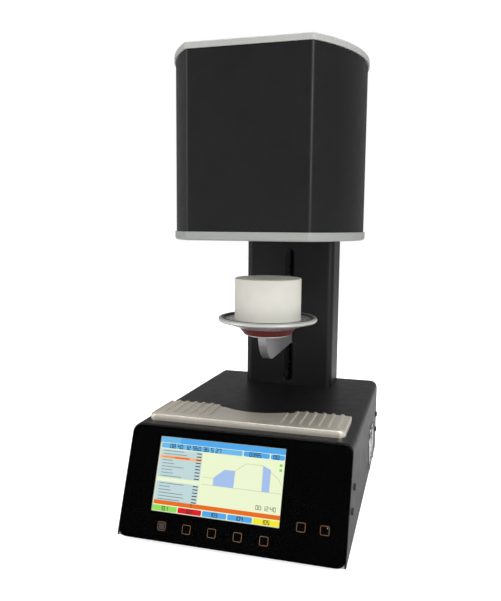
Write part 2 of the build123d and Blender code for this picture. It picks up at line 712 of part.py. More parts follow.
def spine():
    """Machined backbone from the chassis floor to the top of the column, with a foot."""
    half = SPINE_WIDTH / 2
    plate = slab((-half, half), (SPINE_Y, SPINE_REAR_Y), (FLOOR_Z, COLUMN_TOP_Z - CAP - 6))
    foot = slab((-half, half), (SPINE_Y - 2.2 * DRIVE_SETBACK, SPINE_Y), (FLOOR_Z, FLOOR_Z + SPINE))
    return plate + foot


def drive_block(bottom):
    """Block that holds the rod ends and a screw bearing, fixed to the spine."""
    z_range = (BASE_Z + bottom, BASE_Z + bottom + BLOCK)
    y_range = (DRIVE_Y - BEARING_R - 4, SPINE_Y)
    block = slab(about(0, BLOCK_WIDTH), y_range, z_range)
    for x in (-ROD_X, ROD_X):
        block -= rod(x, DRIVE_Y, grown(z_range, 1), ROD_R)
    block -= rod(0, DRIVE_Y, grown(z_range, 1), SCREW_SHAFT_R + 1.5)
    return block


def lower_block():
    """Lower drive block, with the bearing seat in its top."""
    top = BASE_Z + LOWER_BLOCK_BOTTOM + BLOCK
    return drive_block(LOWER_BLOCK_BOTTOM) - rod(0, DRIVE_Y, (top - BEARING_H, top + 1), BEARING_R)


def upper_block():
    """Upper drive block, with the bearing seat in its underside."""
    low = BASE_Z + UPPER_BLOCK_BOTTOM
    return drive_block(UPPER_BLOCK_BOTTOM) - rod(0, DRIVE_Y, (low - 1, low + BEARING_H), BEARING_R)


def screw_bearing(z):
    """Ball bearing of the screw, drawn with the grooves between its rings and shield."""
    bore = SCREW_SHAFT_R + RUN
    outline = [(bore, z), (bore + 2, z), (bore + 2.4, z + 0.6), (BEARING_R - 2.4, z + 0.6)]
    outline += [(BEARING_R - 2, z), (BEARING_R, z), (BEARING_R, z + BEARING_H)]
    outline += [(BEARING_R - 2, z + BEARING_H), (BEARING_R - 2.4, z + BEARING_H - 0.6)]
    outline += [(bore + 2.4, z + BEARING_H - 0.6), (bore + 2, z + BEARING_H), (bore, z + BEARING_H)]
    return turned(outline, 0, DRIVE_Y)


def screw_bearings():
    """The screw's two bearings, in the lower and the upper block."""
    seats = (LOWER_BLOCK_BOTTOM + BLOCK - BEARING_H, UPPER_BLOCK_BOTTOM)
    return [screw_bearing(BASE_Z + seat) for seat in seats]


def guide_rods():
    """Two polished rods that the carriage runs on."""
    z_range = (BASE_Z + LOWER_BLOCK_BOTTOM, BASE_Z + UPPER_BLOCK_BOTTOM + BLOCK)
    return [rod(x, DRIVE_Y, z_range, ROD_R) for x in (-ROD_X, ROD_X)]


def lead_screw():
    """Trapezoidal screw, drawn with ring grooves at the thread's pitch, and plain journals."""
    low = BASE_Z + LOWER_BLOCK_BOTTOM - 8
    start = BASE_Z + LOWER_BLOCK_BOTTOM + BLOCK + 2
    end = BASE_Z + UPPER_BLOCK_BOTTOM - 2
    high = BASE_Z + UPPER_BLOCK_BOTTOM + BLOCK
    core = SCREW_SHAFT_R - THREAD_DEPTH
    outline = [(0, low), (SCREW_SHAFT_R, low), (SCREW_SHAFT_R, start)]
    turns = int((end - start) / (2 * THREAD_PITCH))
    for number in range(turns):
        z = start + 2 * THREAD_PITCH * number
        outline += [(core, z + 1.5), (core, z + 3.5), (SCREW_SHAFT_R, z + 5.0)]
        outline += [(SCREW_SHAFT_R, z + 2 * THREAD_PITCH)]
    outline += [(SCREW_SHAFT_R, high), (0, high)]
    return turned(outline, 0, DRIVE_Y)


def motor_plate():
    """Plate fixed to the spine, which the stepping motor hangs from."""
    z_range = (BASE_Z + MOTOR_PLATE_BOTTOM, BASE_Z + MOTOR_PLATE_BOTTOM + MOTOR_PLATE)
    half = MOTOR_SIDE / 2 + 4
    plate = slab((-half, half), (DRIVE_Y - half, SPINE_Y), z_range)
    plate -= rod(0, DRIVE_Y, grown(z_range, 1), MOTOR_PILOT_R + FIT)
    for u in (-1, 1):
        for v in (-1, 1):
            hole = (u * MOTOR_HOLE, DRIVE_Y + v * MOTOR_HOLE)
            plate -= rod(*hole, grown(z_range, 1), 1.5 + SCREW_PLAY)
    return plate


def lift_motor():
    """Stepping motor with end caps, laminated body and pilot ring."""
    top = BASE_Z + MOTOR_PLATE_BOTTOM
    side = MOTOR_SIDE
    body = Pos(0, DRIVE_Y, top - MOTOR_LENGTH / 2) * Box(side, side, MOTOR_LENGTH)
    body = chamfer(body.edges().filter_by(Axis.Z), 4.0)
    waist = Pos(0, DRIVE_Y, top - MOTOR_LENGTH / 2) * Box(side, side, MOTOR_LENGTH - 24)
    core = Pos(0, DRIVE_Y, top - MOTOR_LENGTH / 2) * Box(side - 3, side - 3, MOTOR_LENGTH - 24)
    motor = body - (waist - core) + rod(0, DRIVE_Y, (top, top + 1.6), MOTOR_PILOT_R)
    return motor - rod(0, DRIVE_Y, (top - 12, top + 3), MOTOR_SHAFT_R + RUN)


def shaft_coupling():
    """Clamping coupling between motor shaft and screw, with two slits."""
    low = BASE_Z + LOWER_BLOCK_BOTTOM - 2 - COUPLING_LENGTH
    coupling = rod(0, DRIVE_Y, (low, low + COUPLING_LENGTH), COUPLING_R)
    screw_end = BASE_Z + LOWER_BLOCK_BOTTOM - 8
    coupling -= rod(0, DRIVE_Y, (screw_end, low + COUPLING_LENGTH + 1), SCREW_SHAFT_R)
    coupling -= rod(0, DRIVE_Y, (low - 1, screw_end - 1), MOTOR_SHAFT_R)
    for side in (-1, 1):
        z = low + COUPLING_LENGTH / 2 + side * 2.5
        y_range = sorted((DRIVE_Y + side * 2, DRIVE_Y + side * 2 * COUPLING_R))
        coupling -= slab(about(0, 3 * COUPLING_R), y_range, about(z, 1.0))
    return coupling


def motor_shaft():
    """The motor's shaft, up into the coupling."""
    low = BASE_Z + MOTOR_PLATE_BOTTOM - 12
    return rod(0, DRIVE_Y, (low, BASE_Z + LOWER_BLOCK_BOTTOM - 9), MOTOR_SHAFT_R)


def carriage():
    """Block that runs on the rods and carries the arm, open round the screw."""
    z_range = (CARRIAGE_Z, CARRIAGE_Z + CARRIAGE_HEIGHT)
    y_range = (DRIVE_Y - CARRIAGE_FRONT, DRIVE_Y + CARRIAGE_REAR)
    block = slab(about(0, CARRIAGE_WIDTH), y_range, z_range)
    block = chamfer(block.edges().filter_by(Axis.Z), 3.0)
    for x in (-ROD_X, ROD_X):
        block -= rod(x, DRIVE_Y, grown(z_range, 1), ROD_R + 1)
        for low in (z_range[0], z_range[1] - BUSH_LENGTH):
            block -= rod(x, DRIVE_Y, (low, low + BUSH_LENGTH), BUSH_R)
    block -= rod(0, DRIVE_Y, grown(z_range, 1), NUT_R)
    block -= rod(0, DRIVE_Y, (z_range[0] - 1, z_range[0] + NUT_FLANGE), NUT_FLANGE_R)
    for x, z in arm_screw_places():
        block -= rod_back(x, z, (y_range[0] - 1, y_range[0] + 8), SCREW_R)
    return block


def carriage_bushes():
    """Four plain bushes between the carriage and the rods."""
    lows = (CARRIAGE_Z, CARRIAGE_Z + CARRIAGE_HEIGHT - BUSH_LENGTH)
    places = [(x, low) for x in (-ROD_X, ROD_X) for low in lows]
    return [ring(ROD_R + RUN, BUSH_R, (low, low + BUSH_LENGTH), x, DRIVE_Y) for x, low in places]


def lead_nut():
    """Flanged bronze nut on the screw."""
    bore = SCREW_SHAFT_R + RUN
    top = CARRIAGE_Z + CARRIAGE_HEIGHT - 8
    outline = [(bore, CARRIAGE_Z), (NUT_FLANGE_R, CARRIAGE_Z)]
    outline += [(NUT_FLANGE_R, CARRIAGE_Z + NUT_FLANGE), (NUT_R, CARRIAGE_Z + NUT_FLANGE)]
    return turned(outline + [(NUT_R, top), (bore, top)], 0, DRIVE_Y)


def arm_screw_places():
    """X and Z of the screws between arm and carriage."""
    middle = ARM_Z - ARM_HEIGHT / 2
    return [(x, middle + z) for x in (-14.0, 14.0) for z in (-11.0, 11.0)]


def lift_arm():
    """Narrow arm through the slot: level underside, rounded nose and a flange on the carriage."""
    rear = DRIVE_Y - CARRIAGE_FRONT
    nose_top = LIFT_Y - ARM_NOSE_AHEAD
    bottom = ARM_Z - ARM_HEIGHT
    drop = ARM_NOSE_R - ARM_HEIGHT
    nose_y = nose_top + sqrt(ARM_NOSE_R**2 - drop**2)
    bend = acos(drop / ARM_NOSE_R) / 2
    middle = (nose_y - ARM_NOSE_R * sin(bend), ARM_Z + drop - ARM_NOSE_R * cos(bend))
    nose = ThreePointArc((nose_top, ARM_Z), middle, (nose_y, bottom))
    rest = Polyline((nose_y, bottom), (rear, bottom), (rear, ARM_Z), (nose_top, ARM_Z))
    arm = extrude(Plane.YZ * make_face(nose + rest), ARM / 2, both=True)
    middle_z = ARM_Z - ARM_HEIGHT / 2
    flange = about(0, ARM_FLANGE_WIDTH), (rear - ARM_FLANGE, rear), about(middle_z, ARM_HEIGHT)
    arm += slab(*flange)
    for x, z in arm_screw_places():
        arm -= rod_back(x, z, (rear - 2 * ARM_FLANGE, rear + 1), SCREW_R + SCREW_PLAY)
    return arm - rod(0, LIFT_Y, (ARM_Z - 14, ARM_Z + 1), BOLT_R)


def arm_screws():
    """Four socket screws that fix the arm to the carriage."""
    rear = DRIVE_Y - CARRIAGE_FRONT
    screws = []
    for x, z in arm_screw_places():
        shank = rod_back(x, z, (rear - ARM_FLANGE, rear + 8), SCREW_R)
        screws.append(shank + rod_back(x, z, (rear - ARM_FLANGE - 3, rear - ARM_FLANGE), 3.5))
    return screws


def support_disc():
    """Thin steel disc between arm and insulator."""
    return ring(BOLT_R + FIT, SUPPORT_R, (ARM_Z, ARM_Z + SUPPORT))


def insulating_disc():
    """Red insulating disc, coned on its side."""
    low = ARM_Z + SUPPORT
    outline = [(BOLT_R + FIT, low), (INSULATOR_FOOT_R, low), (INSULATOR_R, PLATE_BOTTOM_Z)]
    return turned(outline + [(BOLT_R + FIT, PLATE_BOTTOM_Z)])


def lift_plate():
    """Spun steel plate: coned underneath, raised rim, seal groove and a sunk floor."""
    cone_top = PLATE_BOTTOM_Z + PLATE_CONE
    low, high = PEDESTAL_Z, RIM_Z
    inner, outer = SEAL_R - SEAL_WIDTH / 2, SEAL_R + SEAL_WIDTH / 2
    outline = [(BOLT_R + FIT, PLATE_BOTTOM_Z), (INSULATOR_R, PLATE_BOTTOM_Z)]
    outline += [(PLATE_CONE_R, cone_top), (PLATE_R - 1.5, cone_top), (PLATE_R, cone_top + 1.5)]
    outline += [(PLATE_R, high - 1.2), (PLATE_R - 1.2, high), (outer, high), (outer, low - 1.5)]
    outline += [(inner, low - 1.5), (inner, low), (8.0, low), (8.0, low - 6), (BOLT_R + FIT, low - 6)]
    return turned(outline)


def plate_seal():
    """Silicone seal in the plate's groove, proud of the rim by its squeeze."""
    inner, outer = SEAL_R - SEAL_WIDTH / 2, SEAL_R + SEAL_WIDTH / 2
    seal = ring(inner, outer, (PEDESTAL_Z - 1.5, RIM_Z + SEAL_SQUEEZE))
    crown = seal.edges().filter_by(GeomType.CIRCLE).group_by(Axis.Z)[-1]
    return fillet(crown, SEAL_WIDTH * 0.3)


def plate_bolt():
    """Socket bolt from the plate's floor through insulator and disc into the arm."""
    head_low = PEDESTAL_Z - 6
    outline = [(0, ARM_Z - 12), (BOLT_R, ARM_Z - 12), (BOLT_R, head_low), (5.0, head_low)]
    outline += [(5.0, PEDESTAL_Z - 0.5), (2.2, PEDESTAL_Z - 0.5), (2.2, PEDESTAL_Z - 3.5)]
    return turned(outline + [(0, PEDESTAL_Z - 3.5)])


def pedestal():
    """Refractory pedestal with a softened top edge."""
    block = rod(0, LIFT_Y, (PEDESTAL_Z, PEDESTAL_Z + PEDESTAL_HEIGHT), PEDESTAL_R)
    top = block.edges().filter_by(GeomType.CIRCLE).sort_by(Axis.Z)[-1]
    return fillet(top, PEDESTAL_EDGE)


def head_outline(inset, rear_inset=0.0):
    """The head's plan: flat front and rear, bowed sides and small corner radii."""
    front = FRONT_Y + HEAD_SETBACK + inset
    rear = COLUMN_Y - rear_inset
    side_x = HEAD_HALF_WIDTH - HEAD_SIDE_R
    side_y = FRONT_Y + HEAD_WIDEST
    circle = Circle(HEAD_SIDE_R - inset)
    right = Pos(side_x, side_y) * circle
    left = Pos(-side_x, side_y) * circle
    band = Pos(0, (front + rear) / 2) * Rectangle(2 * BASE_WIDTH, rear - front)
    return fillet((right & left & band).vertices(), HEAD_CORNER - inset)


def head_bottom_plate():
    """Pale floor plate of the head, rounded below, with the seat of the chamber's mouth."""
    plate = extrude(head_outline(0), HEAD_BOTTOM_PLATE)
    front = plate.faces().sort_by(Axis.Z)
    plate = fillet(front[0].edges().filter_by(lambda edge: edge.center().Y < COLUMN_Y - 1), PLATE_ROUND)
    plate = Pos(0, 0, HEAD_Z) * plate
    plate -= rod(0, LIFT_Y, (HEAD_Z - 1, HEAD_FLOOR_Z + 1), SEAT_R + FIT)
    for x, y in pot_bolt_places():
        plate -= rod(x, y, (HEAD_FLOOR_Z - 7, HEAD_FLOOR_Z + 1), SCREW_R)
    return plate


def pot_bolt_places():
    """X and Y of the bolts round the vacuum pot's flange."""
    pitch_r = (POT_R + POT_WALL + POT_FLANGE_R) / 2
    angles = [radians(360 / POT_BOLTS * (number + 0.5)) for number in range(POT_BOLTS)]
    return [(pitch_r * cos(angle), LIFT_Y + pitch_r * sin(angle)) for angle in angles]


def head_shell():
    """Black shell of the head, open above and below."""
    height = HEAD_HEIGHT - HEAD_BOTTOM_PLATE - HEAD_TOP_PLATE
    outline = head_outline(HEAD_LIP) - head_outline(HEAD_LIP + HEAD_SHEET, HEAD_SHEET)
    shell = Pos(0, 0, HEAD_FLOOR_Z) * extrude(outline, height)
    for x, z in head_bolt_places():
        shell -= rod_back(x, z, (COLUMN_Y - 2 * HEAD_SHEET, COLUMN_Y + 1), BOLT_R + SCREW_PLAY)
    return shell


def head_top_plate():
    """Pale top plate of the head, rounded along its upper edge."""
    plate = extrude(head_outline(0), HEAD_TOP_PLATE)
    plate = fillet(plate.faces().sort_by(Axis.Z)[-1].edges(), PLATE_ROUND * 0.6)
    return Pos(0, 0, HEAD_TOP_Z - HEAD_TOP_PLATE) * plate


def head_bracket():
    """Angle inside the head, between its floor plate and the bolts into the column."""
    rear = COLUMN_Y - HEAD_SHEET
    width = about(0, BRACKET_WIDTH)
    upright = slab(width, (rear - BRACKET, rear), (HEAD_FLOOR_Z, HEAD_FLOOR_Z + BRACKET_HEIGHT))
    foot = slab(width, (rear - BRACKET_FOOT, rear), (HEAD_FLOOR_Z, HEAD_FLOOR_Z + BRACKET))
    bracket = upright + foot
    for x in (-BRACKET_WIDTH / 2 + 3, BRACKET_WIDTH / 2 - 3):
        web = Polyline(
            (rear - BRACKET_FOOT, HEAD_FLOOR_Z + BRACKET),
            (rear - BRACKET, HEAD_FLOOR_Z + BRACKET),
            (rear - BRACKET, HEAD_FLOOR_Z + BRACKET_HEIGHT),
            close=True,
        )
        bracket += Pos(x, 0, 0) * extrude(Plane.YZ * make_face(web), 3.0, both=True)
    for x, z in head_bolt_places():
        bracket -= rod_back(x, z, (rear - 2 * BRACKET, rear + 1), BOLT_R + SCREW_PLAY)
    return bracket


def head_mount():
    """Cast frame in the column that takes the head's bolts, between front wall and spine."""
    y_range = (COLUMN_Y + COLUMN_WALL, SPINE_Y)
    low = HEAD_FLOOR_Z + MOUNT_RISE
    mount = slab(about(0, MOUNT_WIDTH), y_range, (low, low + MOUNT_HEIGHT))
    inner = (low + MOUNT_WALL * 2, low + MOUNT_HEIGHT - MOUNT_WALL * 2)
    mount -= slab(about(0, MOUNT_WIDTH + 2), grown(y_range, -MOUNT_WALL), inner)
    for x, z in head_bolt_places():
        mount -= rod_back(x, z, (y_range[0] - 1, y_range[0] + HEAD_BOLT_LENGTH - 8), BOLT_R)
    return mount


def head_bolts():
    """Four bolts from the head bracket through shell and column front into the mount."""
    face = COLUMN_Y - HEAD_SHEET - BRACKET
    bolts = []
    for x, z in head_bolt_places():
        shank = rod_back(x, z, (face, face + HEAD_BOLT_LENGTH), BOLT_R)
        bolts.append(shank + rod_back(x, z, (face - 6, face), 5.0))
    return bolts


def mouth_ring():
    """Steel ring round the chamber's mouth: the lift seal presses on its underside."""
    outline = [(MOUTH_R, HEAD_Z), (SEAT_R, HEAD_Z), (SEAT_R, HEAD_FLOOR_Z)]
    outline += [(MUFFLE_R + FIT, HEAD_FLOOR_Z), (MUFFLE_R + FIT, MUFFLE_Z), (MOUTH_R, MUFFLE_Z)]
    return turned(outline)


def muffle_tube():
    """Quartz tube round the firing space."""
    return ring(MOUTH_R, MUFFLE_R, (MUFFLE_Z, LID_Z))


def heating_coil():
    """Heating coil round the muffle tube, drawn as rings joined by a rail."""
    low = HEAD_FLOOR_Z + 10
    coil = None
    for number in range(COIL_TURNS):
        place = Pos(0, LIFT_Y, low + COIL_PITCH * number)
        turn = place * Torus(COIL_R, COIL_WIRE_R)
        coil = turn if coil is None else coil + turn
    top = low + COIL_PITCH * (COIL_TURNS - 1)
    return coil + rod(COIL_R, LIFT_Y, (low, top), COIL_WIRE_R * 0.8)


def insulation_ring():
    """Ceramic fibre ring round the coil."""
    return ring(COIL_SPACE_R, INSULATION_R, (HEAD_FLOOR_Z, LID_Z))


def insulation_lid():
    """Ceramic fibre lid over the muffle, with the thermocouple's hole."""
    lid = ring(THERMOCOUPLE_R + FIT, INSULATION_R, (LID_Z, LID_Z + INSULATION_LID))
    rim = lid.edges().filter_by(GeomType.CIRCLE).group_by(Axis.Z)[-1].sort_by(SortBy.RADIUS)[-1]
    return fillet(rim, POT_ROUND - POT_WALL)


def pot_gasket():
    """Flat gasket under the vacuum pot's flange."""
    gasket = ring(POT_R + FIT, POT_FLANGE_R, (HEAD_FLOOR_Z, HEAD_FLOOR_Z + GASKET))
    for x, y in pot_bolt_places():
        gasket -= rod(x, y, (HEAD_FLOOR_Z - 1, HEAD_FLOOR_Z + GASKET + 1), SCREW_R + SCREW_PLAY)
    return gasket


def vacuum_pot():
    """Steel pot with a bolted flange, which keeps the chamber airtight."""
    low = HEAD_FLOOR_Z + GASKET
    outer = POT_R + POT_WALL
    body = rod(0, LIFT_Y, (low, POT_TOP_Z), outer)
    body = fillet(body.edges().filter_by(GeomType.CIRCLE).sort_by(Axis.Z)[-1], POT_ROUND)
    hollow = rod(0, LIFT_Y, (low - 1, POT_TOP_Z - POT_WALL), POT_R)
    inner_top = hollow.edges().filter_by(GeomType.CIRCLE).sort_by(Axis.Z)[-1]
    pot = body + rod(0, LIFT_Y, (low, low + POT_FLANGE), POT_FLANGE_R)
    pot -= fillet(inner_top, POT_ROUND - POT_WALL)
    for x, y in pot_bolt_places():
        pot -= rod(x, y, (low - 1, low + POT_FLANGE + 1), SCREW_R + SCREW_PLAY)
    pot -= rod(0, LIFT_Y, (LID_Z, POT_TOP_Z + 1), THERMOCOUPLE_R + FIT)
    return pot


def pot_bolts():
    """Bolts of the vacuum pot's flange."""
    top = HEAD_FLOOR_Z + GASKET + POT_FLANGE
    bolts = []
    for x, y in pot_bolt_places():
        shank = rod(x, y, (HEAD_FLOOR_Z - 7, top), SCREW_R)
        bolts.append(shank + rod(x, y, (top, top + 4), 3.6))
    return bolts


def thermocouple():
    """Thermocouple with its sheath down into the chamber and a connection head on the pot."""
    sheath = rod(0, LIFT_Y, (LID_Z - THERMOCOUPLE_DIP, POT_TOP_Z), THERMOCOUPLE_R)
    tip = sheath.edges().filter_by(GeomType.CIRCLE).sort_by(Axis.Z)[0]
    sheath = fillet(tip, THERMOCOUPLE_R * 0.8)
    return sheath + rod(0, LIFT_Y, (POT_TOP_Z, POT_TOP_Z + 9), 9.0)


def heater_terminals():
    """Two ceramic terminal posts of the heating coil on the pot's top."""
    outline = [(0, POT_TOP_Z), (8.0, POT_TOP_Z), (8.0, POT_TOP_Z + 8), (5.0, POT_TOP_Z + 8)]
    outline += [(5.0, POT_TOP_Z + 16), (2.0, POT_TOP_Z + 16), (2.0, POT_TOP_Z + 24)]
    outline += [(0, POT_TOP_Z + 24)]
    return [turned(outline, x) for x in (-TERMINAL_X, TERMINAL_X)]


def toroid():
    """Heating transformer: a wound ring on the chassis floor."""
    middle = (TOROID_R + TOROID_HOLE_R) / 2
    x, y = toroid_place()
    body = ring(TOROID_HOLE_R, TOROID_R, (FLOOR_Z, FLOOR_Z + TOROID_H), x, y)
    return fillet(body.edges().filter_by(GeomType.CIRCLE), (TOROID_R - middle) * 0.6)


def toroid_clamp():
    """Dished washer and bolt that hold the transformer down."""
    x, y = toroid_place()
    top = FLOOR_Z + TOROID_H
    washer = TOROID_HOLE_R + 14
    outline = [(0, BASE_Z - 3), (6, BASE_Z - 3), (6, BASE_Z), (BOLT_R, BASE_Z), (BOLT_R, top)]
    outline += [(washer, top), (washer, top + 2), (6, top + 2), (6, top + 7), (0, top + 7)]
    return turned(outline, x, y)


def power_board_box():
    """The power board's ranges across and back."""
    y = FRONT_Y + POWER_BOARD_SETBACK
    return about(POWER_BOARD_X, POWER_BOARD_WIDTH), about(y, POWER_BOARD_DEPTH)


def power_board_spacers():
    """Four spacers under the power board."""
    x_range, y_range = power_board_box()
    corners = [(x, y) for x in grown(x_range, -6) for y in grown(y_range, -6)]
    return [rod(x, y, (FLOOR_Z, FLOOR_Z + SPACER), SPACER_R) for x, y in corners]


def power_board():
    """Power board with a finned heat sink, relay and capacitors."""
    x_range, y_range = power_board_box()
    low = FLOOR_Z + SPACER
    top = low + BOARD
    board = slab(x_range, y_range, (low, top))
    sink_y = (y_range[1] - 60, y_range[1] - 8)
    board += slab((x_range[0] + 8, x_range[0] + 48), sink_y, (top, top + 4))
    for number in range(6):
        x = x_range[0] + 8 + 7.6 * number
        board += slab((x, x + 2), sink_y, (top, top + 24))
    board += slab((x_range[1] - 34, x_range[1] - 8), (y_range[1] - 40, y_range[1] - 8), (top, top + 20))
    for number in range(3):
        board += rod(x_range[1] - 18, y_range[0] + 22 + 24 * number, (top, top + 28), 9.0)
    return board


def fan_frame():
    """Square fan frame with a round duct, hub plate and four struts."""
    side = FAN_SIDE
    depth = (SHEET, SHEET + FAN_DEPTH)
    block = FAN * Pos(0, 0, -sum(depth) / 2) * Box(side, side, FAN_DEPTH)
    block = fillet(block.edges().filter_by(Axis.X), 3.0)
    frame = block - fan_drum(FAN_BORE_R, grown(depth, 1))
    hub = fan_drum(FAN_HUB_R, (depth[1] - 2.5, depth[1]))
    for angle in range(0, 360, 90):
        strut = Box(FAN_BORE_R + 1 - FAN_HUB_R / 2, 3.0, 2.5)
        reach = (FAN_BORE_R + 1 + FAN_HUB_R / 2) / 2
        frame += FAN * Rot(0, 0, angle + 20) * Pos(reach, 0, 1.25 - depth[1]) * strut
    frame += hub
    frame -= fan_drum(1.5 + RUN, grown(depth, 1))
    for u, v in fan_corners():
        frame -= FAN * Pos(u, v, -sum(depth) / 2) * Cylinder(1.5, FAN_DEPTH + 2)
    return frame


def fan_rotor():
    """Fan wheel with a hub, seven pitched blades and its shaft."""
    low, high = SHEET + 1.5, SHEET + FAN_DEPTH - 3.5
    wheel = fan_drum(FAN_HUB_R, (low, high))
    reach = fan_drum(FAN_BORE_R - 1, (low, high))
    span = FAN_BORE_R - FAN_HUB_R
    for number in range(FAN_BLADES):
        blade = Pos(FAN_HUB_R + span / 2 - 1, 0, 0) * Rot(38, 0, 0) * Box(span + 2, 16.0, 1.4)
        blade = FAN * Pos(0, 0, -(low + high) / 2) * Rot(0, 0, 360 / FAN_BLADES * number) * blade
        wheel += blade & reach
    return wheel + fan_drum(1.5, (high - 1, SHEET + FAN_DEPTH))


def fan_guard():
    """Wire finger guard: rings joined by four diagonal wires that end in screw eyes."""
    lift = GUARD_WIRE_R
    guard = None
    for radius in GUARD_RINGS:
        hoop = FAN * Pos(0, 0, lift) * Torus(radius, GUARD_WIRE_R)
        guard = hoop if guard is None else guard + hoop
    corner = FAN_HOLE * sqrt(2)
    eye_r = 2.6
    for number in range(4):
        turn = FAN * Rot(0, 0, 45 + 90 * number)
        low, high = GUARD_RINGS[0], corner - eye_r
        guard += turn * Pos((low + high) / 2, 0, lift) * Rot(0, 90, 0) * Cylinder(GUARD_WIRE_R, high - low)
        guard += turn * Pos(corner, 0, lift) * Torus(eye_r, GUARD_WIRE_R)
    return guard


def fan_screws():
    """Four screws through the guard's eyes and the cover into the fan frame."""
    head = SIDE_REACH - 2 * GUARD_WIRE_R
    screws = []
    for u, v in fan_corners():
        low = SHEET + FAN_DEPTH - 3
        shank = Pos(0, 0, (2 * GUARD_WIRE_R - low) / 2) * Cylinder(1.5, 2 * GUARD_WIRE_R + low)
        cap = Pos(0, 0, 2 * GUARD_WIRE_R + head / 2) * Cylinder(3.2, head)
        screws.append(FAN * Pos(u, v, 0) * (shank + cap))
    return screws


def socket_body(x, z, width, height, depth):
    """A connector body through the rear panel, with a flange on its outside."""
    face = REAR_Y - REAR_RECESS
    body = slab(about(x, width), (face - depth, face), about(z, height))
    flange = slab(about(x, width + 12), (face, face + FITTING_FLANGE), about(z, height + 6))
    return body + fillet(flange.edges().filter_by(Axis.Y), 3.0)


def power_inlet():
    """Mains inlet with its recess and three pins."""
    x, z, width, height = rear_fittings()["inlet"]
    face = REAR_Y - REAR_RECESS + FITTING_FLANGE
    inlet = socket_body(x, z, width, height, INLET_DEPTH)
    recess = slab(about(x, width - 4), (face - INLET_DEPTH, face + 1), about(z, height - 4))
    inlet -= chamfer(recess.edges().filter_by(Axis.Y).group_by(Axis.Z)[-1], 4.0)
    for offset, rise in ((-7.0, -2.0), (0.0, 2.0), (7.0, -2.0)):
        inlet += slab(about(x + offset, 2.0), (face - INLET_DEPTH - 1, face - 6), about(z + rise, 4.0))
    return inlet


def pump_socket():
    """Outlet for the vacuum pump's lead, with three slots."""
    x, z, width, height = rear_fittings()["socket"]
    face = REAR_Y - REAR_RECESS + FITTING_FLANGE
    socket = socket_body(x, z, width, height, INLET_DEPTH)
    for offset, rise in ((-7.0, 2.0), (0.0, -2.0), (7.0, 2.0)):
        socket -= slab(about(x + offset, 2.6), (face - 14, face + 1), about(z + rise, 4.6))
    return socket


def switch_frame():
    """Frame of the mains switch with the well that the rocker sits in."""
    x, z, width, height = rear_fittings()["switch"]
    face = REAR_Y - REAR_RECESS
    frame = slab(about(x, width), (face - 20, face), about(z, height))
    bezel = slab(about(x, width + 4), (face, face + 2), about(z, height + 4))
    frame += fillet(bezel.edges().filter_by(Axis.Y), 1.5)
    well = slab(about(x, width - 4), (face - 9, face + 3), about(z, height - 3))
    frame -= well
    return frame - across(about(x, width - 1), switch_pivot_y(), z, 1.5 + RUN)


def switch_pivot_y():
    """The rocker's pivot, behind the switch's face."""
    return REAR_Y - REAR_RECESS - 3.5


def switch_rocker():
    """Rocker with two slanted faces that meet at its middle, and its pivot pin, tilted to off."""
    x, z, width, height = rear_fittings()["switch"]
    half = height / 2 - 1.5 - 2 * MOVE
    pivot = switch_pivot_y()
    swing = radians(SWITCH_SWING / 2)
    rise = half * tan(swing)
    outline = Polyline(
        (pivot - 2, z - half * 0.8),
        (pivot - 2, z + half * 0.8),
        (pivot + 4 - rise * 0.4, z + half),
        (pivot + 5.5 - rise, z),
        (pivot + 4 - rise * 0.4, z - half),
        close=True,
    )
    rocker = extrude(Plane.YZ * make_face(outline), (width - 4) / 2 - MOVE, both=True)
    rocker = Pos(x, 0, 0) * rocker + across(about(x, width - 2), pivot, z, 1.5)
    to_pivot = Pos(0, pivot, z)
    return to_pivot * Rot(-SWITCH_SWING / 2, 0, 0) * to_pivot.inverse() * rocker


def fuse_holders():
    """Two fuse holders with slotted caps."""
    z = BASE_Z + SWITCH_Z
    face = REAR_Y - REAR_RECESS
    holders = []
    for number in range(2):
        x = FUSE_X - FUSE_PITCH * number
        holder = rod_back(x, z, (face - 24, face), FUSE_R)
        holder += rod_back(x, z, (face, face + 2), FUSE_R + 2)
        cap = rod_back(x, z, (face + 2, face + 8), FUSE_R)
        holder += cap - slab(about(x, 2 * FUSE_R + 2), (face + 6.5, face + 9), about(z, 1.6))
        holders.append(holder)
    return holders


def vacuum_nipple():
    """Hose nipple through the rear panel, with a hexagon, screwed into the valve."""
    end = REAR_Y + NIPPLE_REACH
    z = BASE_Z + NIPPLE_Z
    face = REAR_Y - REAR_RECESS
    hexagon = extrude(Plane.XZ * RegularPolygon(8.0, 6), (end - NIPPLE_STUB) - face)
    nipple = Pos(NIPPLE_X, end - NIPPLE_STUB, z) * hexagon
    nipple += rod_back(NIPPLE_X, z, (face - NIPPLE_THREAD, face), NIPPLE_R + 1)
    nipple += rod_back(NIPPLE_X, z, (end - NIPPLE_STUB, end), NIPPLE_R)
    return nipple - rod_back(NIPPLE_X, z, (face - NIPPLE_THREAD - 1, end + 1), NIPPLE_BORE_R)


def vacuum_valve():
    """Solenoid valve behind the rear panel: a body with a coil on top."""
    rear = REAR_Y - REAR_RECESS - REAR_SHEET
    z = BASE_Z + NIPPLE_Z
    y_range = (rear - 3 - VALVE_SIZE, rear - 3)
    body = slab(about(NIPPLE_X, VALVE_SIZE), y_range, about(z, 22.0))
    body = chamfer(body.edges().filter_by(Axis.Y), 3.0)
    coil = rod(NIPPLE_X, sum(y_range) / 2, (z - 11 - 26, z - 11), 12.0)
    hole = (REAR_Y - REAR_RECESS - NIPPLE_THREAD, REAR_Y)
    post = slab(about(NIPPLE_X, 20.0), about(sum(y_range) / 2, 20.0), (FLOOR_Z, z - 37))
    return body + coil + post - rod_back(NIPPLE_X, z, hole, NIPPLE_R + 1)


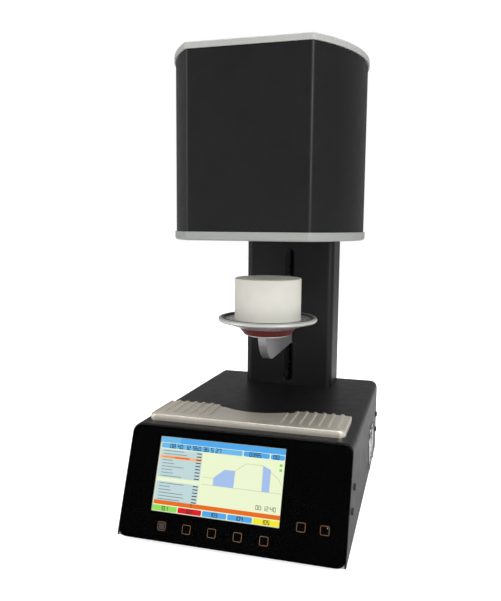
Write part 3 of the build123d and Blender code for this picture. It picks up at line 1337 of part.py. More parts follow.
def limit_sensors():
    """Two fork sensors on the spine at the ends of the carriage's travel."""
    x = CARRIAGE_WIDTH / 2 - 14
    y_range = (DRIVE_Y + CARRIAGE_REAR + MOVE, SPINE_Y)
    lows = (CARRIAGE_Z - LIFT_DOWN, CARRIAGE_Z + CARRIAGE_HEIGHT + LIFT_UP - 12)
    return [slab((x - 8, x), y_range, (low, low + 12)) for low in lows]


def together(*makers):
    """Several makers' solids as one list, for pieces that share a node."""
    solids = []
    for make in makers:
        made = make()
        solids += made if isinstance(made, list) else [made]
    return solids


PIECES = {
    "base_cover": [base_cover],
    "base_chassis": [base_chassis],
    "rear_panel": [rear_panel],
    "feet": [feet],
    "housing_screws": [cover_screws, foot_screws, tray_screws, column_screws, fan_screws],
    "front_glass": [front_glass],
    "glass_print": [glass_print],
    "display_frame": [display_frame],
    "display_screen": [display_screen],
    "panel_carrier": [panel_carrier],
    "circuit_boards": [key_board, control_board, power_board],
    "board_spacers": [control_board_spacers, power_board_spacers],
    "cooling_tray": [cooling_tray],
    "column_shell": [column_shell],
    "column_back": [column_back],
    "column_cap": [column_cap],
    "spine": [spine],
    "drive_blocks": [lower_block, upper_block],
    "screw_bearings": [screw_bearings],
    "guide_rods": [guide_rods],
    "limit_sensors": [limit_sensors],
    "motor_plate": [motor_plate],
    "lift_motor": [lift_motor],
    "motor_coupling": [motor_shaft, shaft_coupling],
    "lead_screw": [lead_screw],
    "carriage": [carriage],
    "carriage_bushes": [carriage_bushes],
    "lead_nut": [lead_nut],
    "lift_arm": [lift_arm],
    "lift_screws": [arm_screws, plate_bolt],
    "support_disc": [support_disc],
    "insulating_disc": [insulating_disc],
    "lift_plate": [lift_plate],
    "plate_seal": [plate_seal],
    "pedestal": [pedestal],
    "head_bottom_plate": [head_bottom_plate],
    "head_shell": [head_shell],
    "head_top_plate": [head_top_plate],
    "head_bracket": [head_bracket],
    "head_mount": [head_mount],
    "chamber_bolts": [pot_bolts, head_bolts],
    "mouth_ring": [mouth_ring],
    "muffle_tube": [muffle_tube],
    "heating_coil": [heating_coil],
    "insulation": [insulation_ring, insulation_lid],
    "pot_gasket": [pot_gasket],
    "vacuum_pot": [vacuum_pot],
    "chamber_fittings": [thermocouple, heater_terminals],
    "toroid": [toroid],
    "toroid_clamp": [toroid_clamp],
    "fan_frame": [fan_frame],
    "fan_rotor": [fan_rotor],
    "fan_guard": [fan_guard],
    "mains_connectors": [power_inlet, pump_socket],
    "switch_frame": [switch_frame],
    "switch_rocker": [switch_rocker],
    "fuse_holders": [fuse_holders],
    "vacuum_nipple": [vacuum_nipple],
    "vacuum_valve": [vacuum_valve],
}

os.makedirs("parts", exist_ok=True)
for name, makers in PIECES.items():
    solids = together(*makers)
    piece = solids[0] if len(solids) == 1 else Compound(children=solids)
    export_step(piece, f"parts/{name}.step")
    print(name, len(solids))
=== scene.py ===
import json
import math

import bpy
from mathutils import Matrix, Vector


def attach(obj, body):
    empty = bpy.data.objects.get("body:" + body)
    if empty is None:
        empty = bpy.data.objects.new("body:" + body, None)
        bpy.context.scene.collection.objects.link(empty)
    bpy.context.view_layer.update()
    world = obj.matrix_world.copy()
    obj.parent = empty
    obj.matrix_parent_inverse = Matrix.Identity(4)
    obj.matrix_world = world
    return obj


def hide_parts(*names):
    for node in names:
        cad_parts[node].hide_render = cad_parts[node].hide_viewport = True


# Dental porcelain furnace: finishes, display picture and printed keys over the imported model.
# Metres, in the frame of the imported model: +Z up, +Y to the back, origin under the middle.

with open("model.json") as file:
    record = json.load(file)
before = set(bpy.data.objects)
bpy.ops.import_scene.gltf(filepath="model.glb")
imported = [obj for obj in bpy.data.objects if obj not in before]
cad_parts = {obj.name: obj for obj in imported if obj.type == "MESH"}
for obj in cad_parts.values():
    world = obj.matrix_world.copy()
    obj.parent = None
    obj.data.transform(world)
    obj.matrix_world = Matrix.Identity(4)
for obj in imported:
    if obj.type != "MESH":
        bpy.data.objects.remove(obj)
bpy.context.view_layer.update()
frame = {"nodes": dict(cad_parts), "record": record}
nodes = frame["nodes"]

# Sizes shared with the model
MM = 0.001
BASE_WIDTH = 270.0 * MM
TOP_DEPTH = 352.0 * MM
TOP_DROP = 10.5 * MM
PANEL_LENGTH = 132.4 * MM
PANEL_TILT = math.radians(22.5)
NIPPLE_REACH = 14.0 * MM
FOOT_HEIGHT = 8.0 * MM
LIFT_SETBACK = 139.8 * MM
GLASS = 4.0 * MM
FILM = 0.4 * MM
PRINT_GAP = 0.1 * MM
KEY_GAP = 0.05 * MM
PRINT_INSET = 1.0 * MM
WINDOW_MARGIN = 0.5 * MM
PANEL_RADIUS = 11.0 * MM
SCREEN_SIZE = Vector((154.1, 85.9)) * MM
SCREEN_CENTRE = Vector((-19.1, 55.3)) * MM
SCREEN_DEPTH = 6.0 * MM
SCREEN_LAYER = 0.04 * MM
KEY_SIZE = 10.0 * MM
KEY_LINE = 0.45 * MM
KEY_RADIUS = 1.8 * MM
KEY_PITCH = 30.8 * MM
KEY_S = 114.4 * MM
SIDE_KEY_S = 94.4 * MM
SIDE_KEY_X = 82.8 * MM
SIDE_KEY_PITCH = 26.5 * MM

PANEL_RUN = PANEL_LENGTH * math.sin(PANEL_TILT)
PANEL_RISE = PANEL_LENGTH * math.cos(PANEL_TILT)
FRONT_Y = (PANEL_RUN - TOP_DEPTH - NIPPLE_REACH) / 2
TOP_Z = FOOT_HEIGHT + PANEL_RISE
LIFT_Y = FRONT_Y + LIFT_SETBACK

# Camera, fitted to the photograph's outlines
CAMERA_PLACE = Vector((202.8 * MM, FRONT_Y - 689.4 * MM, FOOT_HEIGHT + 364.6 * MM))
CAMERA_YAW = math.radians(16.099)
CAMERA_PITCH = math.radians(6.825)
CAMERA_ROLL = math.radians(0.4045)
CAMERA_LENS = 37.858
CAMERA_SHIFT = (0.01409, 0.00118)
SENSOR = 36.0


def make_camera():
    """Camera at the photograph's place, with its small roll."""
    forward = Vector((
        -math.sin(CAMERA_YAW) * math.cos(CAMERA_PITCH),
        math.cos(CAMERA_YAW) * math.cos(CAMERA_PITCH),
        -math.sin(CAMERA_PITCH),
    ))
    level = Vector((math.cos(CAMERA_YAW), math.sin(CAMERA_YAW), 0.0))
    upright = level.cross(forward)
    right = math.cos(CAMERA_ROLL) * level + math.sin(CAMERA_ROLL) * upright
    up = math.cos(CAMERA_ROLL) * upright - math.sin(CAMERA_ROLL) * level
    data = bpy.data.cameras.new("camera")
    data.sensor_fit = "AUTO"
    data.sensor_width = SENSOR
    data.lens = CAMERA_LENS
    data.shift_x, data.shift_y = CAMERA_SHIFT
    data.clip_start = 0.01
    data.clip_end = 50.0
    camera = bpy.data.objects.new("camera", data)
    turn = Matrix((right, up, -forward)).transposed().to_4x4()
    camera.matrix_world = Matrix.Translation(CAMERA_PLACE) @ turn
    bpy.context.scene.collection.objects.link(camera)
    bpy.context.scene.camera = camera


# Material helpers: the scales are of noise per metre, the depths in metres

TONE_SCALE = 9.0
WEAR_SCALE = 60.0
PEEL_SCALE = 900.0
PEEL_DEPTH = 0.00006
RING_SCALE = 2600.0
RING_DEPTH = 0.00001
STEEL_METALLIC = 0.55
MOTTLE_SCALE = 28.0
SAND_SCALE = 1400.0
GLASS_INDEX = 1.45
SCREEN_LIGHT = 1.1


def new_material(name, colour, roughness, metallic=0.0):
    """A principled material with its plain values set, and its node tree."""
    material = bpy.data.materials.new(name)
    material.use_nodes = True
    tree = material.node_tree
    shader = tree.nodes["Principled BSDF"]
    shader.inputs["Base Color"].default_value = (*colour, 1.0)
    shader.inputs["Roughness"].default_value = roughness
    shader.inputs["Metallic"].default_value = metallic
    return material, tree, shader


def add_node(tree, kind, **values):
    """A node with its attributes set."""
    node = tree.nodes.new(kind)
    for key, value in values.items():
        setattr(node, key, value)
    return node


def stretched(tree, stretch):
    """Object coordinates, scaled differently along each axis."""
    place = add_node(tree, "ShaderNodeTexCoord")
    mapping = add_node(tree, "ShaderNodeMapping")
    mapping.inputs["Scale"].default_value = stretch
    tree.links.new(place.outputs["Object"], mapping.inputs["Vector"])
    return mapping.outputs["Vector"]


def noise(tree, vector, scale, detail=4.0):
    """Noise from 0 to 1 at that scale."""
    texture = add_node(tree, "ShaderNodeTexNoise")
    texture.inputs["Scale"].default_value = scale
    texture.inputs["Detail"].default_value = detail
    tree.links.new(vector, texture.inputs["Vector"])
    return texture.outputs["Fac"]


def spread(tree, factor, low, high):
    """The factor mapped from its middle range to low and high."""
    ranged = add_node(tree, "ShaderNodeMapRange")
    ranged.inputs["From Min"].default_value = 0.3
    ranged.inputs["From Max"].default_value = 0.7
    ranged.inputs["To Min"].default_value = low
    ranged.inputs["To Max"].default_value = high
    tree.links.new(factor, ranged.inputs["Value"])
    return ranged.outputs["Result"]


def two_colours(tree, factor, first, second):
    """A colour between two, by the factor."""
    ramp = add_node(tree, "ShaderNodeValToRGB")
    ramp.color_ramp.elements[0].position = 0.35
    ramp.color_ramp.elements[0].color = (*first, 1.0)
    ramp.color_ramp.elements[1].position = 0.65
    ramp.color_ramp.elements[1].color = (*second, 1.0)
    tree.links.new(factor, ramp.inputs["Fac"])
    return ramp.outputs["Color"]


def bump(tree, shader, height, distance):
    """Bump on the shader's normal, with its depth in metres."""
    node = add_node(tree, "ShaderNodeBump")
    node.inputs["Strength"].default_value = 1.0
    node.inputs["Distance"].default_value = distance
    tree.links.new(height, node.inputs["Height"])
    tree.links.new(node.outputs["Normal"], shader.inputs["Normal"])


def shaded(colour, factor):
    """The colour made lighter or darker."""
    return tuple(min(1.0, part * factor) for part in colour)


def coated(name, colour, roughness, depth=PEEL_DEPTH, variation=0.12, specular=0.5, metallic=0.0):
    """Powder coat or moulded plastic: fine orange peel and a slow change of tone."""
    material, tree, shader = new_material(name, colour, roughness, metallic)
    shader.inputs["Specular IOR Level"].default_value = specular
    vector = stretched(tree, (1, 1, 1))
    tone = noise(tree, vector, TONE_SCALE, 2.0)
    blend = two_colours(tree, tone, shaded(colour, 1 - variation), shaded(colour, 1 + variation))
    tree.links.new(blend, shader.inputs["Base Color"])
    rough = spread(tree, noise(tree, vector, WEAR_SCALE, 3.0), roughness * 0.92, roughness * 1.08)
    tree.links.new(rough, shader.inputs["Roughness"])
    if depth:
        bump(tree, shader, noise(tree, vector, PEEL_SCALE, 3.0), depth)
    return material


def brushed(name, colour, roughness, stretch, depth=0.00002, metallic=1.0):
    """Brushed metal: long fine lines where the stretch is small."""
    material, tree, shader = new_material(name, colour, roughness, metallic)
    lines = noise(tree, stretched(tree, stretch), 1.0, 5.0)
    blend = two_colours(tree, lines, shaded(colour, 0.93), shaded(colour, 1.05))
    tree.links.new(blend, shader.inputs["Base Color"])
    rough = spread(tree, lines, roughness * 0.85, roughness * 1.2)
    tree.links.new(rough, shader.inputs["Roughness"])
    bump(tree, shader, lines, depth)
    return material


def turned_metal(name, colour, roughness):
    """Metal turned on a lathe about the lift's axis: fine rings."""
    material, tree, shader = new_material(name, colour, roughness, STEEL_METALLIC)
    place = add_node(tree, "ShaderNodeTexCoord")
    offset = add_node(tree, "ShaderNodeVectorMath", operation="SUBTRACT")
    offset.inputs[1].default_value = (0.0, LIFT_Y, 0.0)
    flat = add_node(tree, "ShaderNodeVectorMath", operation="MULTIPLY")
    flat.inputs[1].default_value = (1.0, 1.0, 0.0)
    length = add_node(tree, "ShaderNodeVectorMath", operation="LENGTH")
    tree.links.new(place.outputs["Object"], offset.inputs[0])
    tree.links.new(offset.outputs["Vector"], flat.inputs[0])
    tree.links.new(flat.outputs["Vector"], length.inputs[0])
    rings = add_node(tree, "ShaderNodeTexNoise", noise_dimensions="1D")
    rings.inputs["Scale"].default_value = RING_SCALE
    rings.inputs["Detail"].default_value = 2.0
    tree.links.new(length.outputs["Value"], rings.inputs["W"])
    fine = rings.outputs["Fac"]
    blend = two_colours(tree, fine, shaded(colour, 0.9), shaded(colour, 1.06))
    tree.links.new(blend, shader.inputs["Base Color"])
    tree.links.new(spread(tree, fine, roughness * 0.8, roughness * 1.25), shader.inputs["Roughness"])
    bump(tree, shader, fine, RING_DEPTH)
    return material


def ceramic(name, colour, second, depth=0.00012):
    """Refractory ceramic: fine sandy grain with small pores and a faint warm mottle."""
    material, tree, shader = new_material(name, colour, 0.85)
    vector = stretched(tree, (1, 1, 1))
    blend = two_colours(tree, noise(tree, vector, MOTTLE_SCALE, 5.0), second, colour)
    tree.links.new(blend, shader.inputs["Base Color"])
    bump(tree, shader, noise(tree, vector, SAND_SCALE, 6.0), depth)
    return material


def clear_glass(name, roughness):
    """Clear glass."""
    material, tree, shader = new_material(name, (1.0, 1.0, 1.0), roughness)
    shader.inputs["Transmission Weight"].default_value = 1.0
    shader.inputs["IOR"].default_value = GLASS_INDEX
    return material


def coated_glass(name, opacity):
    """Thin flat glass with an antireflective coat: nearly clear, with faint reflections."""
    material, tree, shader = new_material(name, (0.0, 0.0, 0.0), 0.04)
    shader.inputs["Alpha"].default_value = opacity
    return material


def lit(name, colour):
    """A lit area of the display: its light is its colour, a little stronger for the glass before it."""
    material, tree, shader = new_material(name, (0.0, 0.0, 0.0), 0.6)
    shader.inputs["Emission Color"].default_value = (*colour, 1.0)
    shader.inputs["Emission Strength"].default_value = SCREEN_LIGHT
    shader.inputs["Specular IOR Level"].default_value = 0.0
    return material


def srgb(red, green, blue):
    """A colour given as 0 to 255 sRGB values, made linear."""
    def linear(value):
        part = value / 255
        return part / 12.92 if part <= 0.04045 else ((part + 0.055) / 1.055) ** 2.4
    return linear(red), linear(green), linear(blue)


MATERIALS = {
    "black_paint": coated("black_paint", srgb(20, 20, 21), 0.42, specular=0.3),
    "pale_rim": coated("pale_rim", srgb(178, 179, 174), 0.5, variation=0.03),
    # Darker copy of the pale rim paint: painted shade for the rim that sits under the head
    "rim_painted_shade": coated("rim_painted_shade", srgb(156, 158, 153), 0.5, variation=0.03),
    "tray_aluminium": brushed("tray_aluminium", srgb(226, 219, 206), 0.33, (900, 60, 900), metallic=0.6),
    "arm_aluminium": coated("arm_aluminium", srgb(172, 172, 175), 0.4, metallic=0.6),
    "steel": turned_metal("steel", srgb(206, 206, 203), 0.26),
    "bright_steel": brushed("bright_steel", srgb(215, 215, 216), 0.18, (40, 40, 900)),
    "zinc_steel": coated("zinc_steel", srgb(170, 172, 174), 0.45),
    "black_screws": coated("black_screws", srgb(26, 26, 26), 0.38),
    "glass_print": coated("glass_print", srgb(3, 3, 3), 0.6, depth=0.0, specular=0.0),
    "screen": lit("screen", srgb(240, 250, 212)),
    "black_plastic": coated("black_plastic", srgb(30, 30, 31), 0.5),
    "board_green": coated("board_green", srgb(28, 92, 52), 0.45),
    "brass": brushed("brass", srgb(205, 176, 112), 0.3, (60, 60, 800)),
    "copper": coated("copper", srgb(150, 84, 48), 0.4),
    "refractory": ceramic("refractory", srgb(220, 219, 210), srgb(214, 211, 202)),
    "fibre": ceramic("fibre", srgb(236, 233, 224), srgb(226, 222, 210), depth=0.0004),
    "coil_wire": coated("coil_wire", srgb(92, 86, 82), 0.6),
    "red_silicone": coated("red_silicone", srgb(96, 34, 30), 0.5),
    "dark_silicone": coated("dark_silicone", srgb(70, 70, 68), 0.6),
    "rubber": coated("rubber", srgb(30, 30, 30), 0.75),
    "rocker": coated("rocker", srgb(22, 22, 22), 0.3),
    "black_glass": coated_glass("black_glass", 0.06),
    "quartz": clear_glass("quartz", 0.05),
}

# Pieces that look unlike the rest of their slot: the oiled screw, and the rim under the head, which gets
# a darker copy of the rim paint as painted shade from the head above it
OTHER_LOOK = {"lead_screw": "black_screws", "head_bottom_plate": "rim_painted_shade"}


def dress_nodes():
    """Every node of the model gets the material of its slot, or its own look."""
    for part in frame["record"]["subparts"]:
        node = nodes[part["node"]]
        node.data.materials.clear()
        look = OTHER_LOOK.get(part["node"], part["material_slot"])
        node.data.materials.append(MATERIALS[look])


# Pieces on the slanted panel

def on_panel(x, s, depth):
    """A point of the panel: across, down the slant and behind the glass's front."""
    down = Vector((0.0, -math.sin(PANEL_TILT), -math.cos(PANEL_TILT)))
    inward = Vector((0.0, math.cos(PANEL_TILT), -math.sin(PANEL_TILT)))
    return Vector((x, FRONT_Y, TOP_Z)) + down * s + inward * depth


def on_screen(u, v, depth):
    """A point of the display, as fractions across and down."""
    corner = SCREEN_CENTRE - SCREEN_SIZE / 2
    return on_panel(corner.x + u * SCREEN_SIZE.x, corner.y + v * SCREEN_SIZE.y, depth)


def mesh_object(name, vertices, faces, material, body):
    """A mesh piece that rides on a body."""
    mesh = bpy.data.meshes.new(name)
    mesh.from_pydata(vertices, [], faces)
    mesh.validate()
    mesh.materials.append(material)
    piece = bpy.data.objects.new(name, mesh)
    bpy.context.scene.collection.objects.link(piece)
    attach(piece, body)
    return piece


def rounded_loop(x_range, s_range, radius, steps=6):
    """Points round a rectangle with round corners."""
    (x0, x1), (s0, s1) = x_range, s_range
    centres = [
        (x1 - radius, s0 + radius, -90),
        (x1 - radius, s1 - radius, 0),
        (x0 + radius, s1 - radius, 90),
        (x0 + radius, s0 + radius, 180),
    ]
    loop = []
    for x, s, start in centres:
        for step in range(steps + 1):
            angle = math.radians(start + 90 * step / steps)
            loop.append((x + radius * math.cos(angle), s + radius * math.sin(angle)))
    return loop


class Picture:
    """Flat coloured areas of the display, gathered into one mesh for each colour."""

    def __init__(self):
        self.areas = {}

    def add(self, colour, outline, layer):
        """An area with its outline in display fractions, on a layer above the lit sheet."""
        vertices, faces = self.areas.setdefault(colour, ([], []))
        start = len(vertices)
        depth = SCREEN_DEPTH - layer * SCREEN_LAYER
        vertices.extend(on_screen(u, v, depth) for u, v in outline)
        faces.append(list(range(start, start + len(outline))))

    def box(self, colour, u_range, v_range, layer, corner=0.0):
        """A rectangle, with round corners of a radius in metres."""
        if corner == 0.0:
            (u0, u1), (v0, v1) = u_range, v_range
            self.add(colour, [(u0, v0), (u1, v0), (u1, v1), (u0, v1)], layer)
            return
        x_range = [u * SCREEN_SIZE.x for u in u_range]
        s_range = [v * SCREEN_SIZE.y for v in v_range]
        loop = rounded_loop(x_range, s_range, corner)
        self.add(colour, [(x / SCREEN_SIZE.x, s / SCREEN_SIZE.y) for x, s in loop], layer)

    def line(self, colour, points, width, layer):
        """A line of that width in metres through points in display fractions."""
        for (u0, v0), (u1, v1) in zip(points, points[1:]):
            along = Vector(((u1 - u0) * SCREEN_SIZE.x, (v1 - v0) * SCREEN_SIZE.y))
            side = Vector((-along.y, along.x)).normalized() * width / 2
            du, dv = side.x / SCREEN_SIZE.x, side.y / SCREEN_SIZE.y
            corners = [(u0 + du, v0 + dv), (u1 + du, v1 + dv), (u1 - du, v1 - dv), (u0 - du, v0 - dv)]
            self.add(colour, corners, layer)

    def build(self, colours):
        """The mesh pieces."""
        for colour, (vertices, faces) in self.areas.items():
            mesh_object(f"screen_{colour}", vertices, faces, colours[colour], "furnace")


# The seven strokes of a plain numeral, as points on a 2 by 4 grid, and the strokes of each numeral
STROKES = {
    "a": ((0, 0), (2, 0)),
    "b": ((2, 0), (2, 2)),
    "c": ((2, 2), (2, 4)),
    "d": ((0, 4), (2, 4)),
    "e": ((0, 2), (0, 4)),
    "f": ((0, 0), (0, 2)),
    "g": ((0, 2), (2, 2)),
}
NUMERALS = {
    "0": "abcdef",
    "1": "bc",
    "2": "abged",
    "3": "abgcd",
    "4": "fgbc",
    "5": "afgcd",
    "6": "afgedc",
    "7": "abc",
    "8": "abcdefg",
    "9": "abcdfg",
}


# Steps from sign to sign, in quarters of the numeral's height
NUMERAL_STEP = 3.2
COLON_STEP = 1.4
SPACE_STEP = 2.0


def write_number(picture, colour, text, start, height, stroke, layer):
    """Plain numerals on the display: height and stroke in metres, start in fractions."""
    u, v = start
    unit_u = height / 4 / SCREEN_SIZE.x
    unit_v = height / 4 / SCREEN_SIZE.y
    wide = stroke / SCREEN_SIZE.x
    high = stroke / SCREEN_SIZE.y
    for sign in text:
        if sign in NUMERALS:
            for name in NUMERALS[sign]:
                ends = [(u + x * unit_u, v + s * unit_v) for x, s in STROKES[name]]
                us = (min(p[0] for p in ends) - wide / 2, max(p[0] for p in ends) + wide / 2)
                vs = (min(p[1] for p in ends) - high / 2, max(p[1] for p in ends) + high / 2)
                picture.box(colour, us, vs, layer)
            u += NUMERAL_STEP * unit_u
        elif sign == ":":
            for row in (1.2, 2.8):
                top = v + row * unit_v
                picture.box(colour, (u, u + wide), (top, top + high), layer)
            u += COLON_STEP * unit_u
        else:
            u += SPACE_STEP * unit_u


SCREEN_COLOURS = {
    "sky": srgb(84, 172, 240),
    "sky_light": srgb(112, 190, 238),
    "list": srgb(196, 220, 222),
    "list_text": srgb(120, 140, 146),
    "row": srgb(245, 190, 140),
    "orange": srgb(236, 112, 36),
    "green": srgb(150, 226, 96),
    "red": srgb(226, 34, 44),
    "yellow": srgb(246, 238, 50),
    "shape": srgb(168, 196, 240),
    "thin": srgb(196, 200, 178),
    "ink": srgb(30, 52, 92),
    "dark": srgb(40, 44, 40),
    "dot": srgb(140, 216, 70),
}


def make_screen():
    """The display's picture: bars, lists and a firing curve with plain numerals."""
    picture = Picture()
    picture.box("sky", (0.0, 1.0), (0.0, 0.077), 1)
    picture.box("sky_light", (0.0, 0.16), (0.0, 0.077), 2)
    picture.box("sky_light", (0.005, 0.668), (0.083, 0.152), 1, 1.6 * MM)
    picture.box("sky", (0.676, 0.88), (0.083, 0.15), 1, 1.6 * MM)
    picture.box("sky", (0.889, 0.996), (0.085, 0.15), 1, 1.6 * MM)
    write_number(picture, "ink", "08 40 12 960 36 5 27", (0.08, 0.091), 4.6 * MM, 0.8 * MM, 2)
    write_number(picture, "ink", "0395", (0.725, 0.091), 4.6 * MM, 0.8 * MM, 2)
    write_number(picture, "ink", "00", (0.912, 0.091), 4.6 * MM, 0.8 * MM, 2)
    row = 0.0425
    groups = ((0.165, 9), (0.604, 6))
    widths = (0.17, 0.2, 0.1, 0.08, 0.1, 0.18, 0.09, 0.1, 0.17, 0.2, 0.09, 0.1, 0.2, 0.21, 0.18)
    number = 0
    for top, count in groups:
        picture.box("list", (0.004, 0.352), (top, top + row * count), 1)
        for index in range(count):
            v = top + row * (index + 0.5)
            marked = top < 0.3 and index == 2
            if marked:
                picture.box("row", (0.004, 0.352), (v - row / 2, v + row / 2), 2)
                picture.box("orange", (0.13, 0.25), (v - row / 4, v + row / 4), 3)
            ink = "orange" if marked else "list_text"
            picture.line(ink, [(0.03, v), (0.03 + widths[number], v)], 0.8 * MM, 3)
            picture.line("dark", [(0.305, v), (0.345, v)], 1.1 * MM, 3)
            number += 1
    base_v = 0.581
    picture.line("thin", [(0.37, base_v), (0.995, base_v)], 0.5 * MM, 1)
    curve = [(0.37, 0.484), (0.456, 0.486), (0.541, 0.36), (0.624, 0.356), (0.702, 0.246)]
    curve += [(0.837, 0.243), (0.959, 0.39), (0.993, 0.478)]
    picture.line("thin", curve, 0.5 * MM, 1)
    trapezoid = [(0.462, base_v), (0.46, 0.488), (0.476, 0.454), (0.541, 0.36), (0.626, 0.358)]
    picture.add("shape", trapezoid + [(0.624, base_v)], 2)
    picture.add("shape", [(0.837, 0.243), (0.9, 0.291), (0.901, base_v), (0.842, base_v)], 2)
    picture.box("dot", (0.962, 0.985), (0.2, 0.233), 1, 1.0 * MM)
    picture.box("dot", (0.962, 0.985), (0.264, 0.297), 1, 1.0 * MM)
    write_number(picture, "dark", "00:12:40", (0.812, 0.762), 4.4 * MM, 0.55 * MM, 1)
    picture.box("orange", (0.004, 1.0), (0.852, 0.91), 1)
    write_number(picture, "dark", "7", (0.3, 0.861), 3.4 * MM, 0.55 * MM, 2)
    labels = (("green", 0.0), ("red", 0.207), ("sky", 0.405), ("sky", 0.603), ("yellow", 0.8))
    for index, (colour, left) in enumerate(labels):
        right = left + (0.2 if index in (0, 4) else 0.19)
        picture.box(colour, (left, right), (0.922, 0.994), 1, 1.2 * MM)
        place = ((left + right) / 2 - 0.034, 0.934)
        write_number(picture, "dark", str(index + 101), place, 4.2 * MM, 0.7 * MM, 2)
    picture.build({name: lit(f"screen_{name}", colour) for name, colour in SCREEN_COLOURS.items()})


def make_print():
    """Black back print of the glass with the display's window cut out."""
    inset = PRINT_INSET
    outer = rounded_loop(
        (inset - BASE_WIDTH / 2, BASE_WIDTH / 2 - inset),
        (inset, PANEL_LENGTH - inset),
        PANEL_RADIUS - inset,
    )
    half = SCREEN_SIZE / 2 + Vector((WINDOW_MARGIN, WINDOW_MARGIN))
    inner = rounded_loop(
        (SCREEN_CENTRE.x - half.x, SCREEN_CENTRE.x + half.x),
        (SCREEN_CENTRE.y - half.y, SCREEN_CENTRE.y + half.y),
        inset,
    )
    front, back = GLASS + PRINT_GAP, GLASS + FILM
    count = len(outer)
    vertices = []
    for depth in (front, back):
        vertices += [on_panel(x, s, depth) for x, s in outer]
        vertices += [on_panel(x, s, depth) for x, s in inner]
    faces = []
    for index in range(count):
        after = (index + 1) % count
        faces.append((index, after, count + after, count + index))
        faces.append((2 * count + index, 3 * count + index, 3 * count + after, 2 * count + after))
        faces.append((index, 2 * count + index, 2 * count + after, after))
        faces.append((count + index, count + after, 3 * count + after, 3 * count + index))
    sheet = mesh_object("print_sheet", vertices, faces, MATERIALS["glass_print"], "furnace")
    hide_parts("glass_print")


def ring_faces(vertices, faces, outer, inner, depth):
    """A flat ring between two loops of equal length."""
    start = len(vertices)
    count = len(outer)
    vertices.extend(on_panel(x, s, depth) for x, s in outer + inner)
    for index in range(count):
        after = (index + 1) % count
        faces.append((start + index, start + after, start + count + after, start + count + index))


def key_places():
    """Centres of the touch keys on the panel."""
    first = SCREEN_CENTRE.x - 2 * KEY_PITCH
    row = [(first + KEY_PITCH * number, KEY_S) for number in range(5)]
    return row + [(SIDE_KEY_X, SIDE_KEY_S), (SIDE_KEY_X + SIDE_KEY_PITCH, SIDE_KEY_S)]


def make_keys():
    """Printed outlines of the touch keys, and the small marks beside two of them."""
    half = KEY_SIZE / 2
    depth = GLASS + KEY_GAP
    outlines, marks, fill = ([], []), ([], []), ([], [])
    for number, (x, s) in enumerate(key_places()):
        outer = rounded_loop((x - half, x + half), (s - half, s + half), KEY_RADIUS)
        inside = half - KEY_LINE
        inner = rounded_loop(
            (x - inside, x + inside), (s - inside, s + inside), KEY_RADIUS - KEY_LINE
        )
        ring_faces(*outlines, outer, inner, depth)
        if number == 0:
            small = half * 0.72
            pad = rounded_loop((x - small, x + small), (s - small, s + small), 0.8 * MM)
            fill[0].extend(on_panel(px, ps, depth) for px, ps in pad)
            fill[1].append(list(range(len(pad))))
        if number == 6:
            dot = 0.5 * MM
            corner = (x + half * 0.55, s - half * 0.55)
            mark = rounded_loop(
                (corner[0] - dot, corner[0] + dot), (corner[1] - dot, corner[1] + dot), dot * 0.9
            )
            marks[0].extend(on_panel(px, ps, depth) for px, ps in mark)
            marks[1].append(list(range(len(mark))))
    orange = coated("key_line", srgb(158, 122, 88), 0.5, depth=0.0)
    white = coated("key_mark", srgb(220, 220, 220), 0.5, depth=0.0)
    grey = coated("key_fill", srgb(58, 54, 52), 0.5, depth=0.0)
    mesh_object("key_outlines", *outlines, orange, "furnace")
    mesh_object("key_dot", *marks, white, "furnace")
    mesh_object("key_pad", *fill, grey, "furnace")


# Stage and light

DIM = 0.3
FLOOR_GLOW = 0.76
FLOOR_HALF = 6.0


def ray_kinds(tree):
    """1 where a ray comes from the camera or through glass."""
    path = add_node(tree, "ShaderNodeLightPath")
    either = add_node(tree, "ShaderNodeMath", operation="MAXIMUM")
    tree.links.new(path.outputs["Is Camera Ray"], either.inputs[0])
    tree.links.new(path.outputs["Is Transmission Ray"], either.inputs[1])
    return either.outputs["Value"]


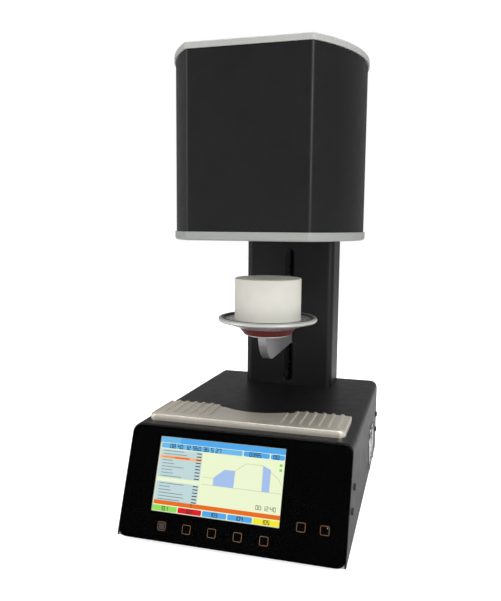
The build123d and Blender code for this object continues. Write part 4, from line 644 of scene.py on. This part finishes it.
def make_world():
    """White surroundings for the camera, dim in what they light and in reflections."""
    world = bpy.data.worlds.new("world")
    bpy.context.scene.world = world
    world.use_nodes = True
    tree = world.node_tree
    background = tree.nodes["Background"]
    background.inputs["Color"].default_value = (1.0, 1.0, 1.0, 1.0)
    strength = add_node(tree, "ShaderNodeMapRange")
    strength.inputs["To Min"].default_value = DIM
    strength.inputs["To Max"].default_value = 1.0
    tree.links.new(ray_kinds(tree), strength.inputs["Value"])
    tree.links.new(strength.outputs["Result"], background.inputs["Strength"])


def make_floor():
    """Pale floor that shows white round the object and keeps its shadow."""
    material, tree, shader = new_material("floor", (0.9, 0.9, 0.9), 0.9)
    shader.inputs["Specular IOR Level"].default_value = 0.0
    tree.links.new(ray_kinds(tree), shader.inputs["Emission Strength"])
    shader.inputs["Emission Color"].default_value = (FLOOR_GLOW, FLOOR_GLOW, FLOOR_GLOW, 1.0)
    mesh = bpy.data.meshes.new("floor")
    low, high = -FLOOR_HALF, FLOOR_HALF
    corners = [(low, low, 0), (high, low, 0), (high, high, 0), (low, high, 0)]
    mesh.from_pydata(corners, [], [(0, 1, 2, 3)])
    mesh.materials.append(material)
    floor = bpy.data.objects.new("floor", mesh)
    bpy.context.scene.collection.objects.link(floor)


def area_light(name, place, target, size, power):
    """A soft square lamp that looks at a point."""
    data = bpy.data.lights.new(name, "AREA")
    data.shape = "RECTANGLE"
    data.size, data.size_y = size
    data.energy = power
    lamp = bpy.data.objects.new(name, data)
    lamp.location = place
    direction = Vector(target) - Vector(place)
    lamp.rotation_euler = direction.to_track_quat("-Z", "Y").to_euler()
    bpy.context.scene.collection.objects.link(lamp)


def make_lights():
    """Soft studio lamps: a key from the right front, a fill from the left and one above."""
    middle = (0.0, 0.0, 0.3)
    area_light("key", (1.3, -1.3, 1.0), middle, (0.8, 1.2), 22.0)
    area_light("fill", (-1.5, -0.9, 0.8), middle, (1.0, 1.4), 12.0)
    area_light("top", (0.0, 0.2, 1.8), middle, (1.2, 1.2), 22.0)


make_camera()
dress_nodes()
make_print()
make_screen()
make_keys()
make_world()
make_floor()
make_lights()
bpy.context.scene.view_settings.view_transform = "Standard"
